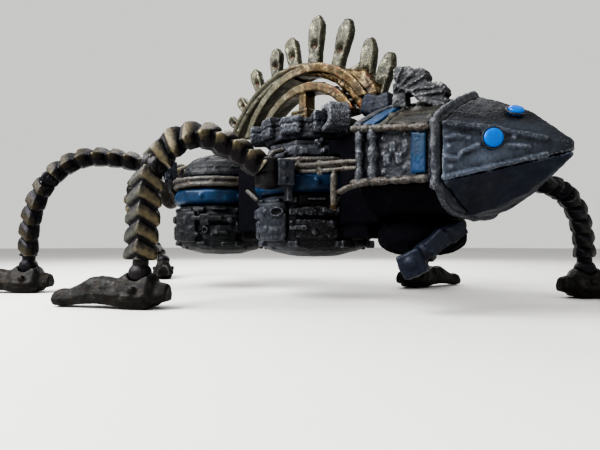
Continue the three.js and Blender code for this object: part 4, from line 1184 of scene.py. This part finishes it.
def toe_band(u, width, place):
    """A raised band round the toe."""
    rings = []
    for shift, grow in ((-0.5, -0.4), (-0.3, 0.02), (0.3, 0.02), (0.5, -0.4)):
        sole, top, half = foot_section(u + shift * width)
        middle = (sole + top) / 2
        ring = []
        for a in around(24):
            y = (half * 0.86 + grow) * cos(a)
            z = middle + ((top - sole) / 2 + grow) * sin(a)
            ring.append(place @ Vector((u + shift * width, y, max(z, 0.1))))
        rings.append(ring)
    return rings


def leg_piece(part, body, name, shape, paint):
    piece(f"leg_{part}_{name}_plates", shape, f"{body}_{name}", "leg_bronze", paint, [f"leg_{part}_{name}"],
          0, relax=0, lumps=0.1, grain=0.08)


for name, plan in LEGS.items():
    leg = Leg(plan)
    # Legs out of the light get the plates painted darker as shade.
    paint = PLATES if name in LIT_LEGS else SHADED_PLATES
    hip, knee, ankle = leg.frame(0), leg.frame(leg.knee), leg.frame(leg.length)
    upper = plates(leg, HIP_GAP, leg.knee - KNEE_GAP)
    upper.skin(drum(knee[0], knee[1], KNEE_DRUM[0], KNEE_DRUM[1] * leg.scale), tone=WORN_HINGE)
    upper.skin(drum(hip[0], (0, 0, 1), *HIP_DRUM), tone=WORN_HINGE)
    leg_piece("upper", "thigh", name, upper, paint)

    lower = plates(leg, leg.knee + KNEE_GAP, leg.length - ANKLE_GAP, below_knee=True)
    spot, _, _, along = leg.frame(leg.length - NECK_GAP)
    neck = dense([[0.02, -1.9], [1.9, -1.9], [1.9, 1.9], [0.02, 1.9]])
    lower.skin(turned(neck, spot, along, 40), tone=WORN_HINGE)
    lower.skin(turned(ball(ANKLE_RADIUS, 28), ankle[0], (0, 0, 1), 56), tone=WORN_HINGE)
    leg_piece("lower", "shin", name, lower, paint)

    place = placed(ankle[0].x, ankle[0].y, 0, plan["toe"])
    foot = cad_shape("foot_" + name)
    for u, width in ((8.2, 1.8), (12.6, 2.2), (21, 1.8)):
        foot.skin(toe_band(u, width, place))
    for side in (1, -1):
        facing = place.to_3x3() @ Vector((0, side, 0.2))
        foot.skin(block((5.6, 0.9, 1.5), 0.25, place @ placed(0, side * 4.1, 2.6)))
        foot.skin(stud(place @ Vector((0, side * 4.2, 4.6)), facing, 0.9, 0.6))
    piece("foot_" + name + "_cast", foot, "foot_" + name, "foot_dark", FOOT_DARK, ["foot_" + name], 0.26,
          lumps=0.08, grain=0.05, relax=7)

    turn = placed(*plan["hip"], 0, plan["heading"])
    level = plan["line"][0][1]
    bolts = [stud(turn @ Vector((-3.2, side * 4.4, level + h)), turn.to_3x3() @ Vector((0, side, 0)), 0.8,
                  0.7) for side in (1, -1) for h in (2, -2)]
    recast("hip_bracket_" + name, "hull_paint", HULL, *bolts, voxel=0.26)

# ---- Stage, lights and camera ---------------------------------------------------------------------------

TABLE_HALF = 2.2
table = bpy.data.meshes.new("table_top")
corners = ((-1, -1), (1, -1), (1, 1), (-1, 1))
table.from_pydata([(x * TABLE_HALF, y * TABLE_HALF, 0) for x, y in corners], [], [(0, 1, 2, 3)])
floor = linked("table_top", table)
floor.location = (ORIGIN.x, ORIGIN.y, -0.0003)
paper = Recipe("pale_paper", 0.0)
soft, fibre = paper.noise(0.01, 2.0), paper.noise(1.2, 5.0, 0.7)
tint = paper.mix(soft, (0.5, 0.495, 0.48), (0.56, 0.55, 0.54))
table.materials.append(paper.finish(tint, paper.ramp(fibre, 0.3, 0.7, 0.75, 0.9), fibre, 0.02))

world = bpy.data.worlds.new("studio")
world.use_nodes = True
world.node_tree.nodes["Background"].inputs["Color"].default_value = (0.82, 0.82, 0.8, 1)
world.node_tree.nodes["Background"].inputs["Strength"].default_value = 0.8
bpy.context.scene.world = world

for label, spot, power, size in (("key", (-80, -210, 230), 2.7, 0.22), ("fill", (240, -120, 120), 0.5, 0.4),
                                 ("rim", (-160, 160, 220), 1.0, 0.3)):
    lamp = bpy.data.lights.new(label, "AREA")
    lamp.energy, lamp.size = power, size
    holder = linked(label, lamp)
    holder.location = to_row(spot)
    holder.rotation_euler = (to_row((-5, 0, 30)) - holder.location).to_track_quat("-Z", "Y").to_euler()

bpy.context.scene.view_settings.look = "AgX - High Contrast"
lens = bpy.data.cameras.new("photo_view")
lens.lens, lens.sensor_width, lens.shift_y, lens.clip_start = 27, 36, 1 / 30, 0.001
camera = linked("photo_view", lens)
camera.location = to_row((94.2, -100.2, 15))
camera.rotation_euler = (radians(90), 0, radians(45))
bpy.context.scene.camera = camera
